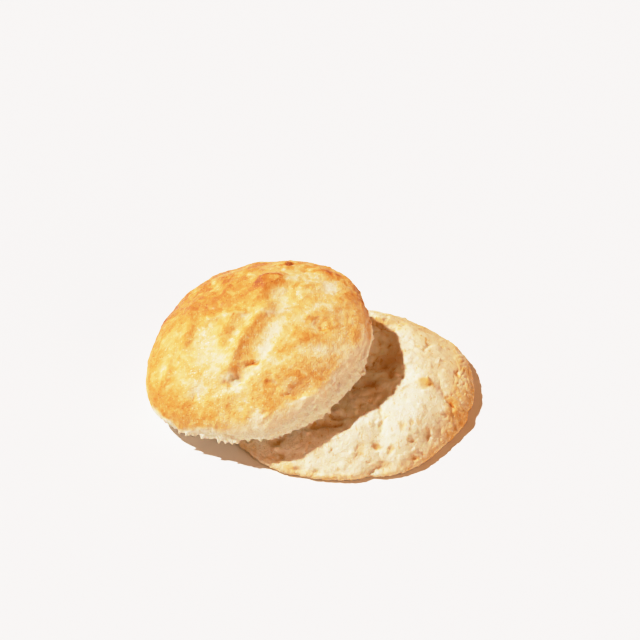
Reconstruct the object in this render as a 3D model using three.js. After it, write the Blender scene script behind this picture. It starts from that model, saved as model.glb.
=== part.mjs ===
// A buttermilk biscuit pulled apart by hand and served open.
// The lower half lies flat on its baked base, torn face up. The upper half lies
// slanting on that face, baked crust up, and hangs out past its left edge.
// Each half is one solid. Units are millimetres and +Z is up.
// The origin is the middle of the flat base of the lower half.
// Angles go anticlockwise from +X, seen from above, in degrees.
import * as THREE from 'three';

// ------------------------------------------------------------ driving dimensions

const FACE_CELL = 1.98; // size of one mesh cell on a torn or baked face
const BASE_CELL = 4.2; // size of one mesh cell on the flat base

const LOWER = {
  radius: 45, // mean radius of the cut round
  crown: 12.9, // height of the torn face over its middle
  faceFall: 4.2, // how flat the middle of the torn face is, as an exponent
  flatterFall: 3.0, // how much is added to that exponent on the flatter side
  flatterSide: { at: -16, spread: 50 }, // where the torn face stays flat further out
  baseInset: 2.2, // how far the corner under the wall is drawn in
  wallLow: 4.1, // height of the crust wall where it is lowest
  wallHigh: 9.0, // height of the crust wall on its tall side
  insetLow: 2.0, // how far the low wall leans inwards
  insetHigh: 7.6, // how far the tall wall leans inwards
  tallSides: [ // where the wall is tall, and how much of the full rise it has
    { at: 2, spread: 46, share: 1 },
    { at: 168, spread: 30, share: 0.85 },
  ],
};

const UPPER = {
  radius: 39.3, // mean radius of the torn edge
  crown: 18.4, // height of the baked top above the tear
  crustFall: 2.5, // how flat the middle of the baked top is, as an exponent
  wall: 8.6, // height of the side from the torn edge to the shoulder
  inset: 3.4, // how far the shoulder lies inside the torn edge
  bulge: 0.3, // how far the side swells past the torn edge
  belly: 2.4, // how far the middle of the torn underside sags
  centre: new THREE.Vector3(-30.6, 3.6, 16.2), // middle of the torn edge
  up: new THREE.Vector3(-0.19, -0.14, 0.972).normalize(), // which way its crust faces
};

// Bulges and flat spots of each outline: angle, half width in degrees, and depth.
const LOWER_SWELLS = [
  { at: 22, spread: 14, out: 1.2 },
  { at: 60, spread: 24, out: -0.8 },
  { at: 228, spread: 26, out: 1.0 },
  { at: 272, spread: 24, out: -1.5 },
  { at: 321, spread: 17, out: -1.9 },
];

const UPPER_SWELLS = [
  { at: 19, spread: 11, out: -1.6 },
  { at: 247, spread: 17, out: -1.0 },
  { at: 310, spread: 9, out: 1.2 },
  { at: 337, spread: 18, out: 2.1 },
];

// The upper half is slightly oval and four-lobed, as a hand-placed round bakes.
const UPPER_WAVES = [
  { times: 2, cosine: 0.3, sine: 1.85 },
  { times: 3, cosine: 0, sine: 0.25 },
  { times: 4, cosine: -0.2, sine: 0.75 },
  { times: 5, cosine: 0.2, sine: 0 },
];

// ------------------------------------------------------------ relief that shows

// A mound or a dent: place, half widths, turn of the long side, and rise.
const CRUST_MOUNDS = [
  { x: 7.4, y: 17.6, wide: 6.6, deep: 4.6, turn: 15, rise: 2.5 }, // large blister
  { x: 4.6, y: 10.4, wide: 2.4, deep: 5.0, turn: -20, rise: 1.2 }, // its tail
  { x: 12.6, y: 9.4, wide: 4.2, deep: 4.0, turn: 0, rise: -1.0 }, // hollow beside it
  { x: -6.9, y: -4.1, wide: 2.6, deep: 2.2, turn: 0, rise: 0.9 }, // small blister
  { x: -15.1, y: -9.6, wide: 6.4, deep: 9.0, turn: -20, rise: -1.3 }, // pale hollow
  { x: 6.4, y: -9.6, wide: 3.4, deep: 6.6, turn: -24, rise: -1.4 }, // pale valley
  { x: 13.4, y: -22.4, wide: 8.4, deep: 4.6, turn: 22, rise: 1.1 }, // golden swell
  { x: 20.7, y: -10.4, wide: 5.2, deep: 2.6, turn: -22, rise: 1.0 }, // dark swell
  { x: 24.1, y: -3.4, wide: 2.6, deep: 2.3, turn: 0, rise: -1.5 }, // ring dent
  { x: 21.2, y: 1.2, wide: 4.4, deep: 2.0, turn: 25, rise: 0.7 }, // lip above the dent
  { x: 28.2, y: 15.6, wide: 3.8, deep: 2.6, turn: -40, rise: -0.9 }, // cream patch
  { x: 32.3, y: 9.6, wide: 2.6, deep: 2.4, turn: 0, rise: 0.7 }, // rim blister
  { x: 24.6, y: 24.4, wide: 3.4, deep: 2.2, turn: -45, rise: 0.8 }, // back rim blister
  { x: 11.6, y: 31.4, wide: 4.2, deep: 2.2, turn: -10, rise: 0.9 }, // dark back blister
  { x: -8.3, y: 27.0, wide: 7.6, deep: 3.0, turn: 12, rise: 0.7 }, // back swell
  { x: -14.4, y: 20.4, wide: 3.6, deep: 3.2, turn: 0, rise: -0.9 }, // pale back dent
  { x: -25.9, y: 11.0, wide: 4.6, deep: 8.2, turn: 18, rise: 0.9 }, // left swell
  { x: -27.4, y: -7.4, wide: 3.0, deep: 5.4, turn: 24, rise: -0.8 }, // left dent
  { x: -26.6, y: -20.6, wide: 4.0, deep: 5.0, turn: 32, rise: 0.8 }, // left front swell
  { x: -17.6, y: -25.6, wide: 3.2, deep: 2.6, turn: 0, rise: -1.0 }, // front dent
  { x: -8.6, y: -29.4, wide: 3.6, deep: 3.0, turn: 0, rise: 0.8 }, // front swell
  { x: 3.4, y: -27.6, wide: 2.8, deep: 4.2, turn: 0, rise: 0.8 }, // front blister
];

// A ridge, fold or crack: three points along it, half width, and rise.
const CRUST_FOLDS = [
  { from: [6.6, 3.2], by: [-1.4, -5.4], to: [-5.8, -17.4], half: 2.3, rise: 1.9 },
  { from: [-5.6, 1.5], by: [-10.0, -6.6], to: [-8.0, -13.0], half: 1.7, rise: 0.8 },
  { from: [-14.2, 4.4], by: [-1.0, 3.0], to: [14.6, 3.4], half: 1.5, rise: 0.8 },
  { from: [-11.8, -24.2], by: [-5.0, -23.4], to: [1.6, -18.6], half: 1.9, rise: -0.8 },
  { from: [6.0, -26.2], by: [12.4, -29.0], to: [19.0, -27.8], half: 1.9, rise: -0.9 },
  { from: [-20.8, 13.6], by: [-19.0, 2.0], to: [-22.8, -6.0], half: 1.9, rise: 0.6 },
];

// The hole torn in the crust, and the cracks' deeper ends.
const CRUST_PITS = [
  { x: -4.9, y: -22.8, wide: 3.2, deep: 2.4, turn: 12, rise: -1.7 },
  { x: 16.6, y: -28.4, wide: 3.0, deep: 2.0, turn: 0, rise: -0.6 },
];

const CRUMB_MOUNDS = [
  { x: -1.2, y: -33.6, wide: 8.4, deep: 4.6, turn: -6, rise: 0.9 }, // front left lobe
  { x: 21.6, y: -25.6, wide: 7.2, deep: 6.4, turn: 30, rise: 1.2 }, // front right lobe
  { x: 4.8, y: -27.2, wide: 4.6, deep: 3.4, turn: 10, rise: 1.0 }, // crest beside the split
  { x: 25.8, y: -7.6, wide: 3.2, deep: 3.4, turn: 0, rise: 1.3 }, // browned tuft
  { x: 22.0, y: 4.0, wide: 6.4, deep: 5.0, turn: 20, rise: 1.2 }, // right swell
  { x: 14.6, y: -7.6, wide: 3.0, deep: 2.2, turn: 20, rise: 1.9 }, // ledge in the shade
  { x: 9.4, y: 2.6, wide: 6.6, deep: 7.4, turn: -25, rise: -3.0 }, // hollow in the shade
  { x: 1.6, y: -8.2, wide: 4.0, deep: 3.2, turn: 0, rise: -2.0 }, // its deep end
  { x: 13.6, y: 22.0, wide: 4.6, deep: 5.6, turn: -20, rise: -2.2 }, // broken back corner
  { x: 4.2, y: 13.2, wide: 4.4, deep: 3.4, turn: 0, rise: 1.2 }, // crumb behind it
  { x: 23.6, y: 22.6, wide: 5.0, deep: 3.2, turn: -35, rise: 0.8 }, // back right lip
  { x: 29.2, y: 14.6, wide: 2.2, deep: 1.8, turn: 0, rise: -1.4 }, // back pit
  { x: 31.2, y: -6.0, wide: 1.8, deep: 5.6, turn: 8, rise: -1.1 }, // crease by the wall
  { x: -6.6, y: -22.6, wide: 4.4, deep: 3.2, turn: 20, rise: -1.2 }, // front hollow
  { x: -19.4, y: -29.6, wide: 5.0, deep: 3.0, turn: -30, rise: -1.0 }, // left front hollow
  { x: -25.0, y: 12.5, wide: 7.0, deep: 6.0, turn: 0, rise: 3.6 }, // three mounds that
  { x: -27.5, y: -13.0, wide: 5.5, deep: 5.0, turn: 0, rise: 0.7 }, // the upper half
  { x: -37.0, y: 5.0, wide: 4.5, deep: 6.0, turn: 0, rise: 3.5 }, // rests on
];

const CRUMB_FOLDS = [
  { from: [9.8, -20.4], by: [11.8, -26.0], to: [9.9, -31.2], half: 1.8, rise: -1.5 },
  { from: [9.9, -31.2], by: [10.4, -36.4], to: [12.6, -39.6], half: 2.0, rise: -1.2 },
  { from: [-22.0, -34.8], by: [-9.0, -41.0], to: [5.0, -40.6], half: 1.7, rise: -0.6 },
];

const CRUMB_PITS = [
  { x: 11.6, y: -39.4, wide: 2.8, deep: 2.0, turn: 10, rise: -1.2 },
  { x: 20.6, y: -21.6, wide: 2.2, deep: 2.4, turn: 0, rise: -0.7 },
  { x: 27.6, y: -24.0, wide: 2.0, deep: 2.4, turn: 0, rise: -0.7 },
];

// Places where the wall itself is nicked or dented: angle, half width and depth.
const WALL_NICKS = [
  { at: 279, spread: 2.8, out: -1.1 }, // chip out of the front edge
  { at: 345, spread: 3.4, out: -1.2 }, // pit in the tall side
  { at: 250, spread: 4.0, out: -0.5 }, // front left dent
];

// Loose unevenness of each surface: size of one lump, how far it moves a point, and
// the seed of its noise.
const CRUST_UNEVEN = { lump: 6.5, move: 0.55, seed: 41 };
const CRUMB_UNEVEN = { lump: 4.6, move: 0.75, seed: 21 };
const TEAR_UNEVEN = { lump: 3.6, move: 0.8, seed: 31 };
const WALL_UNEVEN = { lump: 5.2, move: 0.5, seed: 11 };

const LAYER_HEIGHT = 2.6; // one flaky layer on the side of the upper half
const LAYER_DEPTH = 0.5; // how far a layer stands out
const LAYERED_SIDE = { at: 20, spread: 60 }; // where the layers show
const WALL_ROWS = 7; // rows of cells up a wall

// The curve of a wall's section: how far it flares out over its foot and at which
// share of its height, and how far it leans in and at which share of its height.
const WALL_CURVE = { flare: 0.9, flareAt: 0.12, lean: 0.2, leanAt: 0.72 };
const LOWEST_WALL = 0.25; // least share of a wall point's height that dents leave

// ------------------------------------------------------------ unevenness

const { degToRad, lerp, smoothstep } = THREE.MathUtils;

// A repeatable value from 0 to 1 for each point of a whole-number grid.
function gridValue(ix, iy, iz, seed) {
  let mix = Math.imul(ix, 374761393) + Math.imul(iy, 668265263);
  mix = mix + Math.imul(iz, 1274126177) + Math.imul(seed, 974634777) | 0;
  mix = Math.imul(mix ^ (mix >>> 13), 1103515245) | 0;
  return ((mix ^ (mix >>> 16)) >>> 0) / 4294967296;
}

// Smooth noise from -1 to 1, with lumps one unit across.
function noise(x, y, z, seed) {
  const cell = [Math.floor(x), Math.floor(y), Math.floor(z)];
  const [u, v, w] = [x - cell[0], y - cell[1], z - cell[2]].map((t) => smoothstep(t, 0, 1));
  let sum = 0;
  for (let corner = 0; corner < 8; corner += 1) {
    const [a, b, c] = [corner & 1, (corner >> 1) & 1, (corner >> 2) & 1];
    const weight = (a ? u : 1 - u) * (b ? v : 1 - v) * (c ? w : 1 - w);
    sum += weight * gridValue(cell[0] + a, cell[1] + b, cell[2] + c, seed);
  }
  return 2 * sum - 1;
}

// Moves a point a little, the same way for each run.
function unsettle(point, { lump, move, seed }, strength = 1) {
  const at = point.clone().divideScalar(lump);
  const shift = new THREE.Vector3(
    noise(at.x, at.y, at.z, seed),
    noise(at.x, at.y, at.z, seed + 1),
    noise(at.x, at.y, at.z, seed + 2),
  );
  return point.addScaledVector(shift, move * strength);
}

// ------------------------------------------------------------ relief functions

// 1 at an angle, falling to 0 on both sides of it.
function swell(angle, { at, spread }) {
  const apart = THREE.MathUtils.euclideanModulo(angle - at + 180, 360) - 180;
  return Math.exp(-((apart / spread) ** 2));
}

function sumOf(list, term) {
  return list.reduce((sum, item) => sum + term(item), 0);
}

function moundHeight(x, y, mound) {
  const turn = degToRad(mound.turn);
  const along = (x - mound.x) * Math.cos(turn) + (y - mound.y) * Math.sin(turn);
  const across = (y - mound.y) * Math.cos(turn) - (x - mound.x) * Math.sin(turn);
  return mound.rise * Math.exp(-((along / mound.wide) ** 2) - (across / mound.deep) ** 2);
}

const FOLD_STEPS = 14;

function foldHeight(x, y, fold) {
  let nearest = Infinity;
  for (let step = 0; step <= FOLD_STEPS; step += 1) {
    const t = step / FOLD_STEPS;
    const [a, b, c] = [(1 - t) ** 2, 2 * t * (1 - t), t ** 2];
    const px = a * fold.from[0] + b * fold.by[0] + c * fold.to[0];
    const py = a * fold.from[1] + b * fold.by[1] + c * fold.to[1];
    nearest = Math.min(nearest, Math.hypot(x - px, y - py));
  }
  return fold.rise * Math.exp(-((nearest / fold.half) ** 2));
}

function reliefHeight(x, y, mounds, folds, pits) {
  const round = sumOf(mounds, (mound) => moundHeight(x, y, mound));
  const long = sumOf(folds, (fold) => foldHeight(x, y, fold));
  const holes = sumOf(pits, (pit) => moundHeight(x, y, pit));
  return round + long + holes;
}

// ------------------------------------------------------------ rings of points

// One closed ring of points round the Z axis. place(angle) gives each point.
function ring(count, place) {
  return Array.from({ length: count }, (_, index) => place((360 * index) / count));
}

function polar(radius, angle, height) {
  const turn = degToRad(angle);
  return new THREE.Vector3(radius * Math.cos(turn), radius * Math.sin(turn), height);
}

function cellsRound(radius, cell) {
  return Math.max(6, Math.round((2 * Math.PI * radius) / cell));
}

// Triangles between two rings that may have different numbers of points.
function stitch(triangles, outer, inner) {
  let [i, j] = [0, 0];
  while (i < outer.count || j < inner.count) {
    const outerNext = (i + 1) / outer.count;
    const innerNext = inner.count > 1 ? (j + 1) / inner.count : Infinity;
    const a = outer.start + (i % outer.count);
    const b = inner.start + (j % inner.count);
    if (i < outer.count && (outerNext <= innerNext || j >= inner.count)) {
      triangles.push(a, outer.start + ((i + 1) % outer.count), b);
      i += 1;
    } else if (inner.count > 1) {
      triangles.push(a, inner.start + ((j + 1) % inner.count), b);
      j += 1;
    } else {
      break;
    }
  }
}

// A closed solid from rings that go from the middle of the underside, out and
// up round the wall, and back to the middle of the top.
function solidFromRings(rings) {
  const positions = [];
  const spans = rings.map((points) => {
    const start = positions.length / 3;
    points.forEach((point) => positions.push(point.x, point.y, point.z));
    return { start, count: points.length };
  });
  const triangles = [];
  for (let row = 0; row + 1 < spans.length; row += 1) {
    const [below, above] = [spans[row], spans[row + 1]];
    if (below.count >= above.count) {
      stitch(triangles, below, above);
    } else {
      const flipped = [];
      stitch(flipped, above, below);
      for (let k = 0; k < flipped.length; k += 3) {
        triangles.push(flipped[k + 1], flipped[k], flipped[k + 2]);
      }
    }
  }
  const geometry = new THREE.BufferGeometry();
  geometry.setAttribute('position', new THREE.Float32BufferAttribute(positions, 3));
  geometry.setIndex(triangles);
  geometry.computeVertexNormals();
  return geometry;
}

// The rings of a face, from its edge inwards, without the edge itself.
// place(share, angle) gives a point at a share of the way out from the middle.
function faceRings(radius, cell, place) {
  const rows = Math.round(radius / cell);
  const rings = [];
  for (let row = rows - 1; row > 0; row -= 1) {
    const share = row / rows;
    rings.push(ring(cellsRound(radius * share, cell), (angle) => place(share, angle)));
  }
  rings.push([place(0, 0)]);
  return rings;
}

// The upright section of a wall, as a curve of radius (x) against height (y).
// It starts at the foot, swells out to its widest and leans in to the shoulder.
function wallSection(foot, widest, shoulder, top) {
  return new THREE.CubicBezierCurve(
    new THREE.Vector2(foot, 0),
    new THREE.Vector2(widest + WALL_CURVE.flare * (widest - foot), WALL_CURVE.flareAt * top),
    new THREE.Vector2(lerp(widest, shoulder, WALL_CURVE.lean), WALL_CURVE.leanAt * top),
    new THREE.Vector2(shoulder, top),
  );
}

// ------------------------------------------------------------ lower half

function lowerRadius(angle) {
  const nicks = sumOf(WALL_NICKS, (nick) => nick.out * swell(angle, nick));
  return LOWER.radius + nicks + sumOf(LOWER_SWELLS, (part) => part.out * swell(angle, part));
}

function lowerTallness(angle) {
  return sumOf(LOWER.tallSides, (side) => side.share * swell(angle, side));
}

function lowerWallTop(angle) {
  return lerp(LOWER.wallLow, LOWER.wallHigh, lowerTallness(angle));
}

function lowerShoulder(angle) {
  return lowerRadius(angle) - lerp(LOWER.insetLow, LOWER.insetHigh, lowerTallness(angle));
}

function lowerWallPoint(angle, share) {
  const widest = lowerRadius(angle);
  const foot = widest - LOWER.baseInset;
  const section = wallSection(foot, widest, lowerShoulder(angle), lowerWallTop(angle));
  const at = section.getPoint(share);
  const point = polar(at.x, angle, at.y);
  unsettle(point, WALL_UNEVEN, share);
  point.z = Math.max(point.z, LOWEST_WALL * at.y);
  return point;
}

function lowerFacePoint(share, angle) {
  const top = lowerWallTop(angle);
  const fall = LOWER.faceFall + LOWER.flatterFall * swell(angle, LOWER.flatterSide);
  const height = top + (LOWER.crown - top) * (1 - share ** fall);
  const point = polar(lowerShoulder(angle) * share, angle, height);
  point.z += reliefHeight(point.x, point.y, CRUMB_MOUNDS, CRUMB_FOLDS, CRUMB_PITS);
  unsettle(point, WALL_UNEVEN, smoothstep(share, 0.8, 1));
  return unsettle(point, CRUMB_UNEVEN, 1 - smoothstep(share, 0.9, 1));
}

function lowerHalf() {
  const basePoint = (share, angle) => polar((lowerRadius(angle) - LOWER.baseInset) * share, angle, 0);
  const around = cellsRound(LOWER.radius, FACE_CELL);
  const rings = faceRings(LOWER.radius - LOWER.baseInset, BASE_CELL, basePoint).reverse();
  for (let row = 0; row <= WALL_ROWS; row += 1) {
    rings.push(ring(around, (angle) => lowerWallPoint(angle, row / WALL_ROWS)));
  }
  rings.push(...faceRings(LOWER.radius - LOWER.insetLow, FACE_CELL, lowerFacePoint));
  return solidFromRings(rings);
}

// ------------------------------------------------------------ upper half

function upperRadius(angle) {
  const turn = degToRad(angle);
  const waves = sumOf(
    UPPER_WAVES,
    (wave) => wave.cosine * Math.cos(wave.times * turn) + wave.sine * Math.sin(wave.times * turn),
  );
  return UPPER.radius + waves + sumOf(UPPER_SWELLS, (part) => part.out * swell(angle, part));
}

function upperWallPoint(angle, share) {
  const radius = upperRadius(angle);
  const section = wallSection(radius, radius + UPPER.bulge, radius - UPPER.inset, UPPER.wall);
  const at = section.getPoint(share);
  const layer = Math.sin((2 * Math.PI * at.y) / LAYER_HEIGHT) * swell(angle, LAYERED_SIDE);
  const point = polar(at.x + LAYER_DEPTH * layer * Math.sin(Math.PI * share), angle, at.y);
  unsettle(point, TEAR_UNEVEN, (1 - share) ** 2);
  return unsettle(point, CRUST_UNEVEN, share);
}

function upperCrustPoint(share, angle) {
  const height = lerp(UPPER.wall, UPPER.crown, 1 - share ** UPPER.crustFall);
  const point = polar((upperRadius(angle) - UPPER.inset) * share, angle, height);
  point.z += reliefHeight(point.x, point.y, CRUST_MOUNDS, CRUST_FOLDS, CRUST_PITS);
  return unsettle(point, CRUST_UNEVEN);
}

function upperTearPoint(share, angle) {
  const height = -UPPER.belly * (1 - share ** 3);
  const point = polar(upperRadius(angle) * share, angle, height);
  return unsettle(point, TEAR_UNEVEN);
}

function upperHalf() {
  const around = cellsRound(UPPER.radius, FACE_CELL);
  const rings = faceRings(UPPER.radius, FACE_CELL, upperTearPoint).reverse();
  for (let row = 0; row <= WALL_ROWS; row += 1) {
    rings.push(ring(around, (angle) => upperWallPoint(angle, row / WALL_ROWS)));
  }
  rings.push(...faceRings(UPPER.radius - UPPER.inset, FACE_CELL, upperCrustPoint));
  return solidFromRings(rings);
}

// ------------------------------------------------------------ the biscuit

function bakedMaterial(colour, roughness) {
  return new THREE.MeshStandardMaterial({ color: colour, roughness, metalness: 0 });
}

const crumbMaterial = bakedMaterial(0xf3e2bd, 0.85);
const crustMaterial = bakedMaterial(0xe8b35c, 0.5);

const lower = new THREE.Mesh(lowerHalf(), crumbMaterial);
lower.name = 'lower_half';

const upper = new THREE.Mesh(upperHalf(), crustMaterial);
upper.name = 'upper_half';
upper.position.copy(UPPER.centre);
upper.quaternion.setFromUnitVectors(new THREE.Vector3(0, 0, 1), UPPER.up);

const biscuit = new THREE.Group();
biscuit.name = 'buttermilk_biscuit';
biscuit.add(lower, upper);

export default biscuit;
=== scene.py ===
"""A buttermilk biscuit pulled apart by hand, dressed for the studio.

The lower half lies torn face up on its baked base. The upper half lies slanting
on that face, crust up. Both take their form from the solids of the frame, which
are smoothed, torn into flakes and pores, and coloured brown, with painted shade
in hollows, holes, cracks and the shaded part of the lower half. Sizes are
millimetres until a mesh is handed over in metres, and angles are degrees. Those
round a half run anticlockwise from +X. The noise of the nodes is given in lumps
to a metre.
"""

import logging
import math
from dataclasses import dataclass
from enum import Enum
from itertools import product
from typing import Iterable, Sequence

import bmesh
import bpy
import numpy as np
from mathutils import Matrix, Vector


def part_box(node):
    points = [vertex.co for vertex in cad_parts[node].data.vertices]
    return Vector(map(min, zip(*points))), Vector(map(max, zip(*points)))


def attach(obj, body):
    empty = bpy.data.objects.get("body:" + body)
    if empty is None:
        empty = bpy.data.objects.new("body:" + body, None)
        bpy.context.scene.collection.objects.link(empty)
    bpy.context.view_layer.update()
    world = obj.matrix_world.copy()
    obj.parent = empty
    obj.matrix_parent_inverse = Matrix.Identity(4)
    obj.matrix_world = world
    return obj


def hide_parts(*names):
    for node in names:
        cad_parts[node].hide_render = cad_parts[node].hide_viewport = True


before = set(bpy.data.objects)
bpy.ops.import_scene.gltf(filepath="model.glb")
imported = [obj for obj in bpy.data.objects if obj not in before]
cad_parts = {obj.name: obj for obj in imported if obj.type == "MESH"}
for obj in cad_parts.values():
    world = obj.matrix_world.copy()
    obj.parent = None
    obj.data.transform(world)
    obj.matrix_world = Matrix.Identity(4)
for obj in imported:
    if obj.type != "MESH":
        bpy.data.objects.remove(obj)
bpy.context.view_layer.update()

LOG = logging.getLogger("biscuit")
Array = np.ndarray
Pair = tuple[float, float]
Triple = tuple[float, float, float]
Quad = tuple[float, float, float, float]
MM = 0.001  # metres in a millimetre

# ---------------------------------------------------------------- unevenness

CUBE_CORNERS = np.array(list(product((0, 1), repeat=3)))
NEAR_CELLS = np.array(list(product((-1, 0, 1), repeat=3)))
MIXERS = np.array([374761393, 668265263, 1274126177])  # large odd numbers, one for each axis
SEED_MIXER = 974634777
LAST_MIXER = 1103515245
LOW_32_BITS = 0xFFFFFFFF
TEN_BITS = 1023
BYTE = 255
LUMP_GAIN = 1.7  # brings the noise to about -1 to 1
CREASE_GAIN = 2.2  # how fast a swell rises out of its crease
TREAD = 0.62  # share of a terrace that is level


def scrambled(cells: Array, seed: int) -> Array:
    """Gives each cell of a whole-number grid a repeatable whole number.

    Args:
        cells: Places in the grid, with x, y and z last.
        seed: Which of many such patterns to give.

    Returns:
        One number below 2**32 for each place.
    """
    mix = (cells @ MIXERS + seed * SEED_MIXER) & LOW_32_BITS
    mix = ((mix ^ (mix >> 13)) * LAST_MIXER) & LOW_32_BITS
    return mix ^ (mix >> 16)


def eased(values: Array, low: float | Array, high: float | Array) -> Array:
    """Rises smoothly from 0 at low to 1 at high.

    Args:
        values: What is compared with low and high.
        low: Where the rise starts.
        high: Where the rise ends, which may be below low.

    Returns:
        Values from 0 to 1.
    """
    share = np.clip((values - low) / (high - low), 0.0, 1.0)
    return share * share * (3 - 2 * share)


def along_across(x: Array, y: Array, turn: float) -> tuple[Array, Array]:
    """Measures places along and across a line that is turned from +X."""
    cosine, sine = math.cos(math.radians(turn)), math.sin(math.radians(turn))
    return x * cosine + y * sine, y * cosine - x * sine


def polar(places: Array) -> tuple[Array, Array]:
    """Gives how far from the middle each place is, and at what angle."""
    x, y = places[:, 0], places[:, 1]
    return np.hypot(x, y), np.degrees(np.arctan2(y, x))


@dataclass(frozen=True)
class Lumps:
    """Smooth noise from about -1 to 1, with lumps of one size."""

    size: float
    seed: int

    def at(self, points: Array) -> Array:
        """Reads the noise.

        Args:
            points: Places, one a row.

        Returns:
            One value for each place.
        """
        scaled = points / self.size
        cells = np.floor(scaled).astype(np.int64)
        inside = scaled - cells
        ease = inside**3 * (inside * (inside * 6 - 15) + 10)
        total = np.zeros(len(points))
        for corner in CUBE_CORNERS:
            code = scrambled(cells + corner, self.seed)
            parts = np.stack([(code >> shift) & TEN_BITS for shift in (0, 10, 20)], axis=1)
            slopes = parts / (TEN_BITS / 2) - 1
            weight = np.prod(np.where(corner == 1, ease, 1 - ease), axis=1)
            total += weight * np.sum(slopes * (inside - corner), axis=1)
        return LUMP_GAIN * total


@dataclass(frozen=True)
class Creases:
    """Rounded swells from 0 to 1 that meet in narrow creases of 0."""

    size: float
    seed: int

    def at(self, points: Array) -> Array:
        """Gives how high on a swell each point lies."""
        return np.minimum(1.0, CREASE_GAIN * np.abs(Lumps(self.size, self.seed).at(points)))


@dataclass(frozen=True)
class Patches:
    """Soft-edged patches of 1 on a ground of 0, where lumps are high."""

    size: float
    seed: int
    low: float  # height of the lumps where a patch starts
    high: float  # height where it is full

    def at(self, points: Array) -> Array:
        """Gives how far inside a patch each point lies."""
        return eased(Lumps(self.size, self.seed).at(points), self.low, self.high)


@dataclass(frozen=True)
class Fibres:
    """Long narrow swells, as torn crumb has, in bundles that bend this way and that."""

    length: float
    width: float
    turn: float
    seed: int
    bundle: float = 3.0  # size of a bundle, in lengths of a fibre
    bend: float = 0.8  # how far a bundle bends, in the same

    def at(self, points: Array) -> Array:
        """Gives heights from 0 in a crease to 1 on a fibre.

        Args:
            points: Places, one a row.

        Returns:
            One height for each place.
        """
        wander = Wander(Lumps(self.bundle * self.length, self.seed), self.bend * self.length)
        bent = wander.moved(points)
        along, across = along_across(bent[:, 0], bent[:, 1], self.turn)
        stretched = np.stack([along / self.length, across / self.width, bent[:, 2] / self.width], axis=1)
        return Creases(1.0, self.seed + 3).at(stretched)  # the seeds before that one bend the bundles


@dataclass(frozen=True)
class Pores:
    """Round holes scattered one to a cell, each with a size of its own."""

    cell: float
    smallest: float  # radius
    largest: float
    share: float  # of the cells that have a hole
    seed: int

    def at(self, points: Array) -> Array:
        """Tells how deep in a hole each point is.

        Args:
            points: Places, one a row.

        Returns:
            0 clear of every hole, up to 1 in the middle of one.
        """
        scaled = points / self.cell
        cells = np.floor(scaled).astype(np.int64)
        deepest = np.zeros(len(points))
        for step in NEAR_CELLS:
            code = scrambled(cells + step, self.seed)
            jitter = np.stack([(code >> shift) & BYTE for shift in (0, 8, 16)], axis=1) / BYTE
            away = np.linalg.norm(scaled - (cells + step + jitter), axis=1) * self.cell
            pick = ((code >> 24) & BYTE) / BYTE
            radius = self.smallest + (self.largest - self.smallest) * pick / self.share
            depth = np.clip(1 - (away / radius) ** 2, 0.0, 1.0)
            deepest = np.maximum(deepest, np.where(pick < self.share, depth, 0.0))
        return deepest


@dataclass(frozen=True)
class Wander:
    """Shifts places a little, so that the edges of marks aren't ruled.

    It uses the seed of its lumps and the two after that.
    """

    lumps: Lumps
    reach: float

    def moved(self, points: Array) -> Array:
        """Gives the points shifted by up to about the reach each way."""
        shifts = [Lumps(self.lumps.size, self.lumps.seed + axis).at(points) for axis in range(3)]
        return points + self.reach * np.stack(shifts, axis=1)


@dataclass(frozen=True)
class Terraces:
    """Level steps with steep edges between them, as torn layers have."""

    swells: tuple["Layer", ...]  # what the steps are cut from
    step: float

    def at(self, points: Array) -> Array:
        """Gives the steps, less the swells that they are cut from.

        Args:
            points: Places, one a row.

        Returns:
            One height for each place.
        """
        heights = total_of(self.swells, points)
        level = heights / self.step
        whole = np.floor(level)
        return self.step * (whole + eased(level - whole, TREAD, 1.0)) - heights


@dataclass(frozen=True)
class Layer:
    """A pattern laid over a surface, as height or as browning."""

    pattern: Lumps | Creases | Patches | Fibres | Pores | Terraces
    amount: float
    level: float = 0.0  # value of the pattern that changes nothing
    wander: Wander | None = None

    def at(self, points: Array) -> Array:
        """Gives the amount at each point."""
        places = points if self.wander is None else self.wander.moved(points)
        return self.amount * (self.pattern.at(places) - self.level)


Layers = tuple[Layer, ...]

# ---------------------------------------------------------------- marks on a face

SPOT_EDGE = 1.4  # the higher, the sharper a spot ends
STROKE_STEPS = 10


@dataclass(frozen=True)
class Spot:
    """An oval mark: its place, half widths, the turn of its long side, and amount."""

    x: float
    y: float
    wide: float
    deep: float
    turn: float
    amount: float

    def at(self, places: Array) -> Array:
        """Gives the amount of this mark at the x and y of each place.

        Args:
            places: Places, one a row.

        Returns:
            The amount, highest in the middle.
        """
        along, across = along_across(places[:, 0] - self.x, places[:, 1] - self.y, self.turn)
        away = (along / self.wide) ** 2 + (across / self.deep) ** 2
        return self.amount * np.exp(-(away**SPOT_EDGE))


@dataclass(frozen=True)
class Stroke:
    """A mark along a bent line of three points, with its half width and amount."""

    start: Pair
    bend: Pair
    end: Pair
    half: float
    amount: float

    def at(self, places: Array) -> Array:
        """Gives the amount of this mark at the x and y of each place.

        Args:
            places: Places, one a row.

        Returns:
            The amount, highest on the line.
        """
        x, y = places[:, 0], places[:, 1]
        steps = np.linspace(0, 1, STROKE_STEPS)[:, None]
        shares = np.hstack([(1 - steps) ** 2, 2 * steps * (1 - steps), steps**2])
        line = shares @ np.array([self.start, self.bend, self.end])
        nearest = np.full(len(x), np.inf)
        for (ax, ay), (bx, by) in zip(line[:-1], line[1:]):
            length = (bx - ax) ** 2 + (by - ay) ** 2
            share = np.clip(((x - ax) * (bx - ax) + (y - ay) * (by - ay)) / length, 0, 1)
            away = np.hypot(x - ax - share * (bx - ax), y - ay - share * (by - ay))
            nearest = np.minimum(nearest, away)
        return self.amount * np.exp(-((nearest / self.half) ** 2))


Marks = tuple[Spot | Stroke, ...]


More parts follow.
